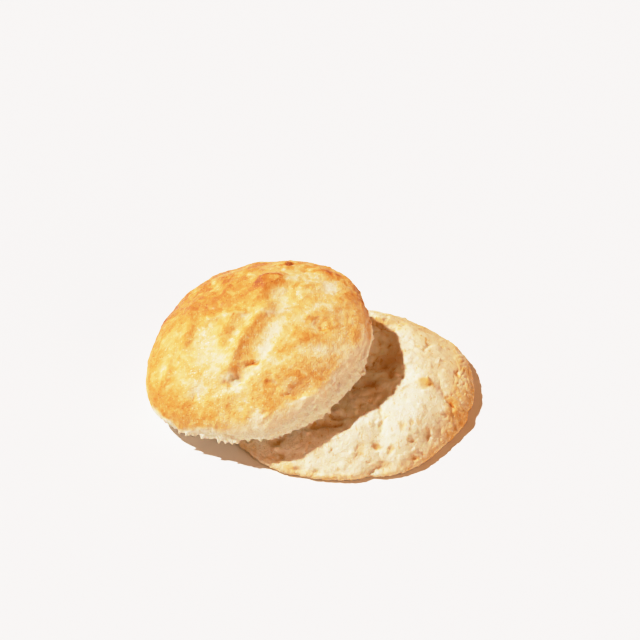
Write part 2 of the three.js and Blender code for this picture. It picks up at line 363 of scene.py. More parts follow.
def total_of(parts: Iterable[Spot | Stroke | Layer], places: Array) -> Array:
    """Adds up marks or layers.

    Args:
        parts: The marks or layers.
        places: Places, one a row, with the x and y of the marked face.

    Returns:
        The summed amount at each place.
    """
    return sum((part.at(places) for part in parts), np.zeros(len(places)))


@dataclass(frozen=True)
class Round:
    """A value that changes with the angle, given at a few angles and even between them."""

    knots: tuple[Pair, ...]

    def at(self, angles: Array) -> Array:
        """Reads the value at angles in degrees.

        Args:
            angles: Angles in degrees.

        Returns:
            One value for each angle.
        """
        turns = [angle for angle, _ in self.knots]
        values = [value for _, value in self.knots]
        return np.interp(angles, turns, values, period=360)


# ---------------------------------------------------------------- surfaces

LET_OUT = 1.04  # how far smoothed points are let out, for each part that they were drawn in


class Mask(Enum):
    """What is stored at each point of a mesh for its finish to read."""

    CRUST = "crust"
    # browning, with painted shade in parts
    BAKE = "bake_and_shade"
    # painted shade of hollows
    HOLLOW_SHADE = "hollow_shade"
    BUTTER = "butter"


class Surface:
    """A closed mesh in millimetres whose points are worked on as arrays."""

    def __init__(self, mesh: bpy.types.Mesh) -> None:
        """Takes over a mesh."""
        self.mesh = mesh

    @classmethod
    def of_node(cls, node: str) -> "Surface":
        """Copies the mesh of a node of the frame, in millimetres.

        Args:
            node: The node's name.

        Returns:
            The copy.
        """
        mesh = bpy.data.objects[node].data.copy()
        mesh.materials.clear()
        mesh.transform(Matrix.Scale(1 / MM, 4))
        return cls(mesh)

    @property
    def points(self) -> Array:
        """The places of all points, one a row.

        Returns:
            The places.
        """
        flat = np.empty(3 * len(self.mesh.vertices), np.float32)
        self.mesh.vertices.foreach_get("co", flat)
        return flat.reshape(-1, 3).astype(np.float64)

    @points.setter
    def points(self, places: Array) -> None:
        """Puts each point in its new place."""
        self.mesh.vertices.foreach_set("co", places.astype(np.float32).ravel())
        self.mesh.update()

    @property
    def normals(self) -> Array:
        """The outward direction at each point.

        Returns:
            The directions, one a row.
        """
        flat = np.empty(3 * len(self.mesh.vertices), np.float32)
        self.mesh.vertex_normals.foreach_get("vector", flat)
        return flat.reshape(-1, 3).astype(np.float64)

    @property
    def edges(self) -> Array:
        """The two ends of each edge, one edge a row.

        Returns:
            The numbers of the points at the ends.
        """
        flat = np.empty(2 * len(self.mesh.edges), np.int32)
        self.mesh.edges.foreach_get("vertices", flat)
        return flat.reshape(-1, 2)

    def remesh(self, cell: float) -> None:
        """Rebuilds the mesh from even four-sided faces.

        Args:
            cell: The width of one face.
        """
        holder = bpy.data.objects.new("holder", self.mesh)
        bpy.context.scene.collection.objects.link(holder)
        even = holder.modifiers.new("even", "REMESH")
        even.mode = "VOXEL"
        even.voxel_size = cell
        seen = holder.evaluated_get(bpy.context.evaluated_depsgraph_get())
        old, self.mesh = self.mesh, bpy.data.meshes.new_from_object(seen)
        bpy.data.objects.remove(holder)
        bpy.data.meshes.remove(old)

    def drop_scraps(self) -> None:
        """Deletes every part that isn't joined to the largest one."""
        ends = self.edges
        labels = np.arange(len(self.mesh.vertices))
        while True:
            lower = np.minimum(labels[ends[:, 0]], labels[ends[:, 1]])
            joined = labels.copy()
            np.minimum.at(joined, ends[:, 0], lower)
            np.minimum.at(joined, ends[:, 1], lower)
            joined = joined[joined]
            if np.array_equal(joined, labels):
                break
            labels = joined
        largest = np.bincount(labels).argmax()
        work = bmesh.new()
        work.from_mesh(self.mesh)
        loose = [vert for vert, label in zip(work.verts, labels) if label != largest]
        bmesh.ops.delete(work, geom=loose, context="VERTS")
        work.to_mesh(self.mesh)
        work.free()

    def averaged(self, values: Array, rounds: int) -> Array:
        """Evens out a value over the surface.

        Args:
            values: One value or row of values for each point.
            rounds: How many times each point goes half way to its neighbours' mean.

        Returns:
            The evened values, in the same form.
        """
        ends = self.edges
        here = np.concatenate([ends[:, 0], ends[:, 1]])
        there = np.concatenate([ends[:, 1], ends[:, 0]])
        count = np.bincount(here, minlength=len(values))
        columns = values.reshape(len(values), -1).T
        for _ in range(rounds):
            sums = [np.bincount(here, column[there], len(values)) for column in columns]
            columns = 0.5 * (columns + np.array(sums) / count)
        return columns.T.reshape(values.shape)

    def smooth(self, rounds: int) -> None:
        """Rounds off facets and keeps the size.

        Args:
            rounds: How many times the points are drawn together and let out again.
        """
        places = self.points
        for _ in range(rounds):
            drawn = self.averaged(places, 1)
            places = drawn - LET_OUT * (self.averaged(drawn, 1) - drawn)
        self.points = places

    def sunk(self, rounds: int) -> Array:
        """Tells how far each point lies below its surroundings.

        Args:
            rounds: How far round it the surroundings reach, in rounds of averaging.

        Returns:
            Depths in millimetres, below 0 on a bump.
        """
        places = self.points
        return np.sum((self.averaged(places, rounds) - places) * self.normals, axis=1)

    def push(self, heights: Array) -> None:
        """Moves each point outwards by its height."""
        self.points = self.points + self.normals * heights[:, None]

    def join(self, other: bpy.types.Mesh) -> None:
        """Adds another mesh, which is then deleted.

        Args:
            other: The mesh to add.
        """
        work = bmesh.new()
        work.from_mesh(self.mesh)
        work.from_mesh(other)
        work.to_mesh(self.mesh)
        work.free()
        bpy.data.meshes.remove(other)

    def store(self, mask: Mask, values: Array) -> None:
        """Keeps one value from 0 to 1 for each point under the mask's name."""
        kept = self.mesh.attributes.new(mask.value, "FLOAT", "POINT")
        kept.data.foreach_set("value", np.clip(values, 0, 1).astype(np.float32))

    def as_piece(self, name: str) -> bpy.types.Object:
        """Hands the mesh over in metres.

        Args:
            name: The name of the new piece.

        Returns:
            The piece, in the scene.
        """
        self.mesh.transform(Matrix.Scale(MM, 4))
        self.mesh.polygons.foreach_set("use_smooth", [True] * len(self.mesh.polygons))
        self.mesh.name = name
        piece = bpy.data.objects.new(name, self.mesh)
        bpy.context.scene.collection.objects.link(piece)
        return piece


# ---------------------------------------------------------------- torn flakes


@dataclass(frozen=True)
class Flakes:
    """Thin scraps of crumb that stand out of a torn face, each lens-shaped.

    The lengths, widths and thicknesses are half sizes, from the least to the most.
    """

    length: Pair
    width: Pair
    thickness: Pair
    lean: Pair  # angle between a flake and the face under it
    proud: float  # share of the length that its middle stands out
    seed: int
    stray: float = 0.35  # how far a flake strays from the direction that it's given
    taper: float = 0.45  # how much narrower one end is than the middle
    bend: float = 0.5  # how far the ends bend, in thicknesses

    def made(self, roots: Array, outward: Array, along: Array | None = None) -> bpy.types.Mesh:
        """Builds one mesh of all flakes.

        Args:
            roots: Where the flakes grow.
            outward: The direction away from the face at each root.
            along: The direction that each flake points in, or None for any.

        Returns:
            A mesh of separate closed flakes.
        """
        draw = np.random.default_rng(self.seed)
        count = len(roots)
        aim = draw.normal(size=(count, 3))
        if along is not None:
            aim = along + self.stray * aim
        flat = aim - outward * np.sum(aim * outward, axis=1)[:, None]
        flat /= np.linalg.norm(flat, axis=1)[:, None]
        lean = np.radians(draw.uniform(*self.lean, count))[:, None]
        long_way = np.cos(lean) * flat + np.sin(lean) * outward
        wide_way = np.cross(outward, flat)
        thin_way = np.cross(long_way, wide_way)
        spans = (self.length, self.width, self.thickness)
        sizes = [draw.uniform(*span, count)[:, None, None] for span in spans]
        lens, faces = self.lens()
        bend = draw.uniform(-self.bend, self.bend, count)[:, None, None]
        taper = 1 - self.taper * lens[:, 0:1]
        shape = sizes[0] * lens[:, 0:1] * long_way[:, None]
        shape = shape + sizes[1] * lens[:, 1:2] * taper * wide_way[:, None]
        shape = shape + sizes[2] * (lens[:, 2:3] + bend * lens[:, 0:1] ** 2) * thin_way[:, None]
        places = roots[:, None] + self.proud * sizes[0] * long_way[:, None] + shape
        corners = (faces[None] + len(lens) * np.arange(count)[:, None, None]).reshape(-1, 3)
        mesh = bpy.data.meshes.new("flakes")
        mesh.from_pydata(places.reshape(-1, 3).tolist(), [], corners.tolist())
        return mesh

    @staticmethod
    def lens() -> tuple[Array, Array]:
        """Gives the points and triangles of a ball that each flake is pressed from.

        Returns:
            The points and the triangles.
        """
        ball = bmesh.new()
        bmesh.ops.create_icosphere(ball, subdivisions=2, radius=1.0)
        places = np.array([vert.co[:] for vert in ball.verts])
        faces = np.array([[vert.index for vert in face.verts] for face in ball.faces])
        ball.free()
        return places, faces


# ---------------------------------------------------------------- nodes

Socket = bpy.types.NodeSocket
Value = float | tuple | Socket
Inputs = dict[str | int, Value]


def paint(red: int, green: int, blue: int) -> Quad:
    """Turns a screen colour of 0 to 255 a channel into light, by the screen's own curve.

    Args:
        red: Red, from 0 to 255.
        green: Green, in the same.
        blue: Blue, in the same.

    Returns:
        Red, green and blue light, and 1 for opaque.
    """
    shares = [channel / BYTE for channel in (red, green, blue)]
    linear = [share / 12.92 if share <= 0.04045 else ((share + 0.055) / 1.055) ** 2.4 for share in shares]
    return (*linear, 1.0)


class Graph:
    """A node tree, with short ways to add nodes and join them."""

    def __init__(self, tree: bpy.types.NodeTree) -> None:
        """Takes over a tree."""
        self.tree = tree

    def feed(self, socket: Socket, value: Value) -> None:
        """Joins a socket to another, or sets it.

        Args:
            socket: The input to feed.
            value: Another socket, or what to set it to.
        """
        if isinstance(value, bpy.types.NodeSocket):
            self.tree.links.new(value, socket)
        else:
            socket.default_value = value

    def add(self, kind: str, inputs: Inputs | None = None, **settings: object) -> bpy.types.Node:
        """Adds a node.

        Args:
            kind: The type of the node, without the word ShaderNode.
            inputs: What feeds each named or numbered input.
            settings: The node's own properties.

        Returns:
            The node.
        """
        node = self.tree.nodes.new("ShaderNode" + kind)
        for name, setting in settings.items():
            setattr(node, name, setting)
        for name, value in (inputs or {}).items():
            self.feed(node.inputs[name], value)
        return node

    def group(self, tree: bpy.types.NodeTree, inputs: Inputs) -> bpy.types.Node:
        """Places a node group and feeds it."""
        return self.add("Group", inputs, node_tree=tree)

    def math(self, operation: str, *values: Value, clamp: bool = False) -> Socket:
        """Joins one to three values by one sum."""
        return self.add("Math", dict(enumerate(values)), operation=operation, use_clamp=clamp).outputs[0]

    def mix(self, share: Value, first: Value, second: Value) -> Socket:
        """Mixes two colours by a share from 0 to 1."""
        node = self.add("Mix", {0: share, 6: first, 7: second}, data_type="RGBA")
        return node.outputs[2]  # the node keeps its colours at inputs 6 and 7 and output 2

    def span(self, value: Value, low: Value, high: Value) -> Socket:
        """Stretches a value of 0 to 1 over a span from low to high."""
        return self.add("MapRange", {"Value": value, "To Min": low, "To Max": high}).outputs[0]

    def picked(self, value: Value, low: float, high: float) -> Socket:
        """Rises smoothly from 0 where the value is low to 1 where it is high."""
        inputs = {"Value": value, "From Min": low, "From Max": high}
        return self.add("MapRange", inputs, interpolation_type="SMOOTHSTEP").outputs[0]

    def ramp(self, value: Value, stops: Sequence[tuple[float, tuple]]) -> Socket:
        """Colours a value.

        Args:
            value: The value, from 0 to 1.
            stops: Places from 0 to 1, each with its colour.

        Returns:
            The colour.
        """
        node = self.add("ValToRGB", {0: value})
        band = node.color_ramp
        band.elements[0].position, band.elements[0].color = stops[0]
        band.elements[1].position, band.elements[1].color = stops[-1]
        for place, colour in stops[1:-1]:
            band.elements.new(place).color = colour
        return node.outputs[0]

    def place(self) -> Socket:
        """Gives the place on the object."""
        return self.add("TexCoord").outputs["Object"]

    def noise(self, scale: Value, detail: float, roughness: float, place: Socket | None = None) -> Socket:
        """Reads noise from 0 to 1.

        Args:
            scale: Its lumps in a metre.
            detail: How many finer sizes of lump are added to it.
            roughness: How strong each finer size is.
            place: Where it is read, or None for the place on the object.

        Returns:
            The noise.
        """
        vector = self.place() if place is None else place
        inputs = {"Vector": vector, "Scale": scale, "Detail": detail, "Roughness": roughness}
        return self.add("TexNoise", inputs).outputs[0]

    def uneven(self, scale: Value, detail: float, roughness: float) -> Socket:
        """Reads noise from -0.5 to 0.5."""
        return self.math("SUBTRACT", self.noise(scale, detail, roughness), 0.5)

    def fold(self, scale: Value, detail: float, roughness: float) -> Socket:
        """Reads noise that is 0 along thin lines and rises on both sides."""
        return self.math("ABSOLUTE", self.uneven(scale, detail, roughness))

    def mask(self, mask: Mask) -> Socket:
        """Reads what is stored at the points of the mesh."""
        return self.add("Attribute", attribute_name=mask.value).outputs["Fac"]


@dataclass(frozen=True)
class Port:
    """A named input or output of a node group."""

    name: str
    kind: str = "NodeSocketFloat"
    value: float = 0.0


@dataclass(frozen=True)
class Flecks:
    """Small round flecks of one kind."""

    lumps: float  # cells in a metre
    share: float  # of the cells that have a fleck
    size: float  # radius, in cells
    browning: float  # below 0 for pale ones


class Effects:
    """The node groups that both finishes share, each built once."""

    CRUST_BAND = (
        (0.00, paint(244, 224, 191)),
        (0.20, paint(240, 208, 157)),
        (0.40, paint(237, 190, 119)),
        (0.60, paint(231, 168, 83)),
        (0.78, paint(222, 146, 58)),
        (0.90, paint(205, 120, 42)),
        (1.00, paint(168, 90, 32)),
    )
    CRUMB_BAND = (
        (0.00, paint(254, 244, 220)),
        (0.35, paint(252, 236, 200)),
        (0.60, paint(244, 217, 161)),
        (0.80, paint(228, 183, 116)),
        (1.00, paint(180, 118, 56)),
    )
    TOASTED = paint(226, 175, 97)
    PALE_FLECKS = Flecks(1300.0, 0.24, 0.34, -0.22)
    DARK_FLECKS = Flecks(1150.0, 0.12, 0.3, 0.16)
    CRUMB_FLECKS = Flecks(1000.0, 0.1, 0.3, 0.3)
    CRUST_HOLLOW_SHADE = 0.35  # how much painted shade in hollows darkens the crust
    CRUMB_MOTTLE = 0.65
    CREASE_WIDTH = 0.045  # in heights of the noise
    CREASE_BROWNING = 0.3
    STREAK_LIMITS = (0.58, 0.66)  # heights of the noise between which a streak begins
    STREAK_STRETCH = (1.0, 0.4, 1.0)
    STREAK_BROWNING = 0.42
    TEAR_LUMPS = 0.45  # sharp folds in the length of one lump
    FILM_LUMPS = 1100.0
    FILM_LIMITS = (0.42, 0.6)
    FILM_COAT = 0.4

    def __init__(self) -> None:
        """Builds every group."""
        self.flecks = self._flecks()
        self.crust_colour = self._crust_colour()
        self.crumb_colour = self._crumb_colour()
        self.grain = self._grain()
        self.film = self._film()

    @staticmethod
    def _group(name: str, ports_in: Sequence[Port], ports_out: Sequence[Port]) -> tuple[Graph, dict, dict]:
        """Starts a group.

        Args:
            name: What the group is called.
            ports_in: Its inputs.
            ports_out: Its outputs.

        Returns:
            The group's graph, its inputs by name and its outputs by name.
        """
        tree = bpy.data.node_groups.new(name, "ShaderNodeTree")
        for port in ports_in:
            socket = tree.interface.new_socket(port.name, in_out="INPUT", socket_type=port.kind)
            socket.default_value = port.value
        for port in ports_out:
            tree.interface.new_socket(port.name, in_out="OUTPUT", socket_type=port.kind)
        start = tree.nodes.new("NodeGroupInput")
        end = tree.nodes.new("NodeGroupOutput")
        sources = {port.name: start.outputs[port.name] for port in ports_in}
        sinks = {port.name: end.inputs[port.name] for port in ports_out}
        return Graph(tree), sources, sinks

    def _flecks(self) -> bpy.types.NodeTree:
        """Builds a mask of small round flecks, one in some of the cells of a grid.

        Returns:
            The group.
        """
        ports = (Port("Lumps", value=1000.0), Port("Share", value=0.2), Port("Size", value=0.3))
        graph, get, put = self._group("flecks", ports, (Port("Mask"),))
        cells = graph.add("TexVoronoi", {"Vector": graph.place(), "Scale": get["Lumps"]})
        draw = graph.add("SeparateColor", {0: cells.outputs["Color"]}).outputs[0]
        near = graph.math("LESS_THAN", cells.outputs["Distance"], get["Size"])
        here = graph.math("LESS_THAN", draw, get["Share"])
        graph.feed(put["Mask"], graph.math("MULTIPLY", near, here))
        return graph.tree

    def flecked(self, graph: Graph, flecks: Flecks) -> Socket:
        """Places the fleck group and gives what its flecks add to the browning."""
        inputs = {"Lumps": flecks.lumps, "Share": flecks.share, "Size": flecks.size}
        return graph.math("MULTIPLY", graph.group(self.flecks, inputs).outputs["Mask"], flecks.browning)

    def _crust_colour(self) -> bpy.types.NodeTree:
        """Builds the colour of a baked crust from how brown it is, darker in its hollows as painted shade.

        Returns:
            The group.
        """
        ports = (Port("Bake"), Port("Mottle", value=0.2), Port("Lumps", value=700.0), Port("Hollow Shade"))
        graph, get, put = self._group("crust colour", ports, (Port("Color", "NodeSocketColor"),))
        uneven = graph.uneven(get["Lumps"], detail=5.0, roughness=0.8)
        browning_and_shade = graph.math("MULTIPLY_ADD", uneven, get["Mottle"], get["Bake"])
        pale, dark = (self.flecked(graph, flecks) for flecks in (self.PALE_FLECKS, self.DARK_FLECKS))
        # painted shade: hollows darken the crust
        sunk = graph.math("MULTIPLY", get["Hollow Shade"], self.CRUST_HOLLOW_SHADE)
        shade = graph.math("ADD", graph.math("ADD", browning_and_shade, graph.math("ADD", pale, dark)), sunk, clamp=True)
        graph.feed(put["Color"], graph.ramp(shade, self.CRUST_BAND))
        return graph.tree

    def _crumb_colour(self) -> bpy.types.NodeTree:
        """Builds the colour of torn crumb, darker and warmer in its hollows as painted shade, and browner in
        spots of toast and of painted shade.

        Returns:
            The group.
        """
        sizes = (Port("Lumps", value=560.0), Port("Creases", value=1035.0), Port("Streaks", value=620.0))
        ports = (Port("Hollow Shade"), Port("Toast And Shade"), *sizes)
        graph, get, put = self._group("crumb colour", ports, (Port("Color", "NodeSocketColor"),))
        uneven = graph.uneven(get["Lumps"], detail=6.0, roughness=0.75)
        # painted shade: hollows move the crumb down its band, darker and warmer
        depth = graph.math("MULTIPLY_ADD", uneven, self.CRUMB_MOTTLE, get["Hollow Shade"])
        folds = graph.fold(get["Creases"], detail=4.0, roughness=0.65)
        creases = graph.picked(folds, self.CREASE_WIDTH, 0.0)
        lines = graph.math("MULTIPLY", creases, self.CREASE_BROWNING)
        colour = graph.ramp(graph.math("ADD", depth, lines), self.CRUMB_BAND)
        place = graph.add("Mapping", {"Vector": graph.place(), "Scale": self.STREAK_STRETCH}).outputs[0]
        noise = graph.noise(get["Streaks"], detail=5.0, roughness=0.65, place=place)
        streaks = graph.math("MULTIPLY", graph.picked(noise, *self.STREAK_LIMITS), self.STREAK_BROWNING)
        marked = graph.math("ADD", self.flecked(graph, self.CRUMB_FLECKS), streaks)
        # the toast input carries painted shade as well as toast
        toast_and_shade = graph.math("ADD", get["Toast And Shade"], marked, clamp=True)
        graph.feed(put["Color"], graph.mix(toast_and_shade, colour, self.TOASTED))
        return graph.tree

    def _grain(self) -> bpy.types.NodeTree:
        """Builds the height in mm of the finest grain, too small for the mesh.

        Returns:
            The group.
        """
        strengths = (Port("Blisters", value=0.5), Port("Tears"), Port("Depth", value=0.3))
        ports = (Port("Lumps", value=2000.0), *strengths)
        graph, get, put = self._group("fine grain", ports, (Port("Height"),))
        rough = graph.noise(get["Lumps"], detail=3.0, roughness=0.6)
        inputs = {"Vector": graph.place(), "Scale": get["Lumps"], "Smoothness": 0.6}
        cells = graph.add("TexVoronoi", inputs, feature="SMOOTH_F1").outputs["Distance"]
        raised = graph.math("MULTIPLY", graph.math("SUBTRACT", 1.0, cells), get["Blisters"])
        tears = graph.math("MULTIPLY", get["Lumps"], self.TEAR_LUMPS)
        folds = graph.fold(tears, detail=4.0, roughness=0.65)
        torn = graph.math("MULTIPLY", folds, get["Tears"])
        total = graph.math("ADD", graph.math("ADD", rough, raised), torn)
        graph.feed(put["Height"], graph.math("MULTIPLY", total, get["Depth"]))
        return graph.tree

    def _film(self) -> bpy.types.NodeTree:
        """Builds a patchy film of butter, as a roughness and a coat.

        Returns:
            The group.
        """
        ports = (Port("Butter"), Port("Matte", value=0.7), Port("Wet", value=0.35))
        graph, get, put = self._group("butter film", ports, (Port("Roughness"), Port("Coat")))
        noise = graph.noise(self.FILM_LUMPS, detail=5.0, roughness=0.75)
        patches = graph.picked(noise, *self.FILM_LIMITS)
        wetness = graph.math("MULTIPLY", patches, get["Butter"], clamp=True)
        graph.feed(put["Roughness"], graph.span(wetness, get["Matte"], get["Wet"]))
        graph.feed(put["Coat"], graph.math("MULTIPLY", wetness, self.FILM_COAT))
        return graph.tree


@dataclass(frozen=True)
class Grain:
    """The finest relief of one kind of surface."""

    lumps: float  # lumps in a metre
    blisters: float  # how much of it is round blisters
    tears: float  # how much of it is sharp folds
    depth: float  # in mm


@dataclass(frozen=True)
class BakedFinish:
    """The finish of a half: crust and crumb in one material, told apart by a mask."""

    name: str
    scatter: float  # share of light that goes in and comes out elsewhere
    scatter_depth: Triple  # how far red, green and blue go, in mm
    mottle: float  # how uneven the crust's browning is
    crust_grain: Grain
    crumb_grain: Grain
    matte: float  # roughness without butter
    wet: float  # roughness under butter
    shine: float  # how much the surface mirrors under the film
    coat_roughness: float = 0.22

    def material(self, effects: Effects) -> bpy.types.Material:
        """Builds the material.

        Args:
            effects: The shared node groups.

        Returns:
            The material.
        """
        material = bpy.data.materials.new(self.name)
        material.use_nodes = True
        graph = Graph(material.node_tree)
        graph.tree.nodes.clear()
        # the browning mask holds some painted shade, and the mask of hollows is painted shade
        crust, bake_and_shade, hollow_shade, butter = (graph.mask(mask) for mask in Mask)
        baked = graph.group(effects.crust_colour, {"Bake": bake_and_shade, "Mottle": self.mottle, "Hollow Shade": hollow_shade})
        torn = graph.group(effects.crumb_colour, {"Hollow Shade": hollow_shade, "Toast And Shade": bake_and_shade})
        film = graph.group(effects.film, {"Butter": butter, "Matte": self.matte, "Wet": self.wet})
        colour = graph.mix(crust, torn.outputs[0], baked.outputs[0])
        heights = [self.grained(graph, effects, grain) for grain in (self.crumb_grain, self.crust_grain)]
        bump = graph.add("Bump", {"Height": graph.span(crust, *heights), "Strength": 1.0, "Distance": MM})
        shader = graph.add("BsdfPrincipled", {
            "Base Color": colour,
            "Roughness": film.outputs["Roughness"],
            "Specular IOR Level": self.shine,
            "Coat Weight": film.outputs["Coat"],
            "Coat Roughness": self.coat_roughness,
            "Normal": bump.outputs[0],
            "Subsurface Weight": self.scatter,
            "Subsurface Radius": self.scatter_depth,
            "Subsurface Scale": MM,
        })
        output = graph.add("OutputMaterial", {"Surface": shader.outputs[0]})
        output.is_active_output = True
        return material

    @staticmethod
    def grained(graph: Graph, effects: Effects, grain: Grain) -> Socket:
        """Places the grain group with one grain's values and gives its height."""
        strengths = {"Blisters": grain.blisters, "Tears": grain.tears, "Depth": grain.depth}
        return graph.group(effects.grain, {"Lumps": grain.lumps, **strengths}).outputs["Height"]


LOWER_FINISH = BakedFinish(
    name="torn_crumb",
    scatter=0.3,
    scatter_depth=(1.2, 0.8, 0.45),
    mottle=0.4,
    crust_grain=Grain(lumps=1900.0, blisters=0.4, tears=1.5, depth=0.34),
    crumb_grain=Grain(lumps=2300.0, blisters=0.2, tears=2.2, depth=0.3),
    matte=0.85,
    wet=0.42,
    shine=0.2,
)

UPPER_FINISH = BakedFinish(
    name="baked_crust",
    scatter=0.18,
    scatter_depth=(0.9, 0.5, 0.22),
    mottle=0.42,
    crust_grain=Grain(lumps=2100.0, blisters=0.9, tears=0.5, depth=0.2),
    crumb_grain=Grain(lumps=2000.0, blisters=0.2, tears=2.6, depth=0.44),
    matte=0.62,
    wet=0.26,
    shine=0.25,
)

# ---------------------------------------------------------------- the two halves

SMALL_HOLLOWS = 10  # rounds of averaging that find them
WIDE_HOLLOWS = 50
BROAD_HOLLOWS = 220


@dataclass
class Half:
    """One half of the biscuit, worked in its own frame with its face in XY."""

    node: str
    name: str
    material_slot: str
    finish: BakedFinish
    centre: Triple = (0.0, 0.0, 0.0)
    up: Triple = (0.0, 0.0, 1.0)
    first_cell: float = 0.62
    last_cell: float = 0.43
    facet_rounds: int = 16  # rounds of smoothing that take off the facets
    crust_relief: Layers = ()
    crumb_relief: Layers = ()
    fine_crust: Layers = ()
    fine_crumb: Layers = ()
    crumb_hollow_shade: float = 0.04  # how deep level crumb counts as lying, for the painted shade of hollows

    def turned(self) -> Array:
        """Gives the axes of the half's own frame, one a column."""
        turn = Vector((0, 0, 1)).rotation_difference(Vector(self.up).normalized())
        return np.array(turn.to_matrix())

    def own(self, points: Array) -> Array:
        """Gives points of the scene in the half's own frame."""
        return (points - np.array(self.centre)) @ self.turned()

    def build(self) -> bpy.types.Object:
        """Builds the half in three steps: even and smooth, torn, and roughened.

        Returns:
            The finished piece, without its material.
        """
        surface = Surface.of_node(self.node)
        surface.remesh(self.first_cell)
        surface.smooth(self.facet_rounds)
        self.tear(surface)
        surface.remesh(self.last_cell)
        surface.drop_scraps()
        surface.push(self.fine_relief(surface))
        self.fit_box(surface)
        self.brown(surface)
        return surface.as_piece(self.name)

    @staticmethod
    def on_both(crust: Array, places: Array, crust_layers: Layers, crumb_layers: Layers) -> Array:
        """Gives the total of one set of layers on crust, and of another on crumb."""
        return crust * total_of(crust_layers, places) + (1 - crust) * total_of(crumb_layers, places)

    def fit_box(self, surface: Surface) -> None:
        """Holds every point inside the box of the node that the half stands for."""
        low, high = (np.array(corner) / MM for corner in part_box(self.node))
        surface.points = np.clip(surface.points, low, high)

    def dress(self, piece: bpy.types.Object, effects: Effects) -> None:
        """Gives the piece its material and its place in the frame.

        Args:
            piece: The built half.
            effects: The shared node groups.
        """
        piece.data.materials.append(self.finish.material(effects))
        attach(piece, "root")
        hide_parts(self.node)

    def tear(self, surface: Surface) -> None:
        """Adds flakes, holes and folds that are larger than a face of the mesh."""
        raise NotImplementedError

    def fine_relief(self, surface: Surface) -> Array:
        """Gives the height of the finest relief at each point."""
        raise NotImplementedError

    def brown(self, surface: Surface) -> None:
        """Stores the masks that the finish reads."""
        raise NotImplementedError


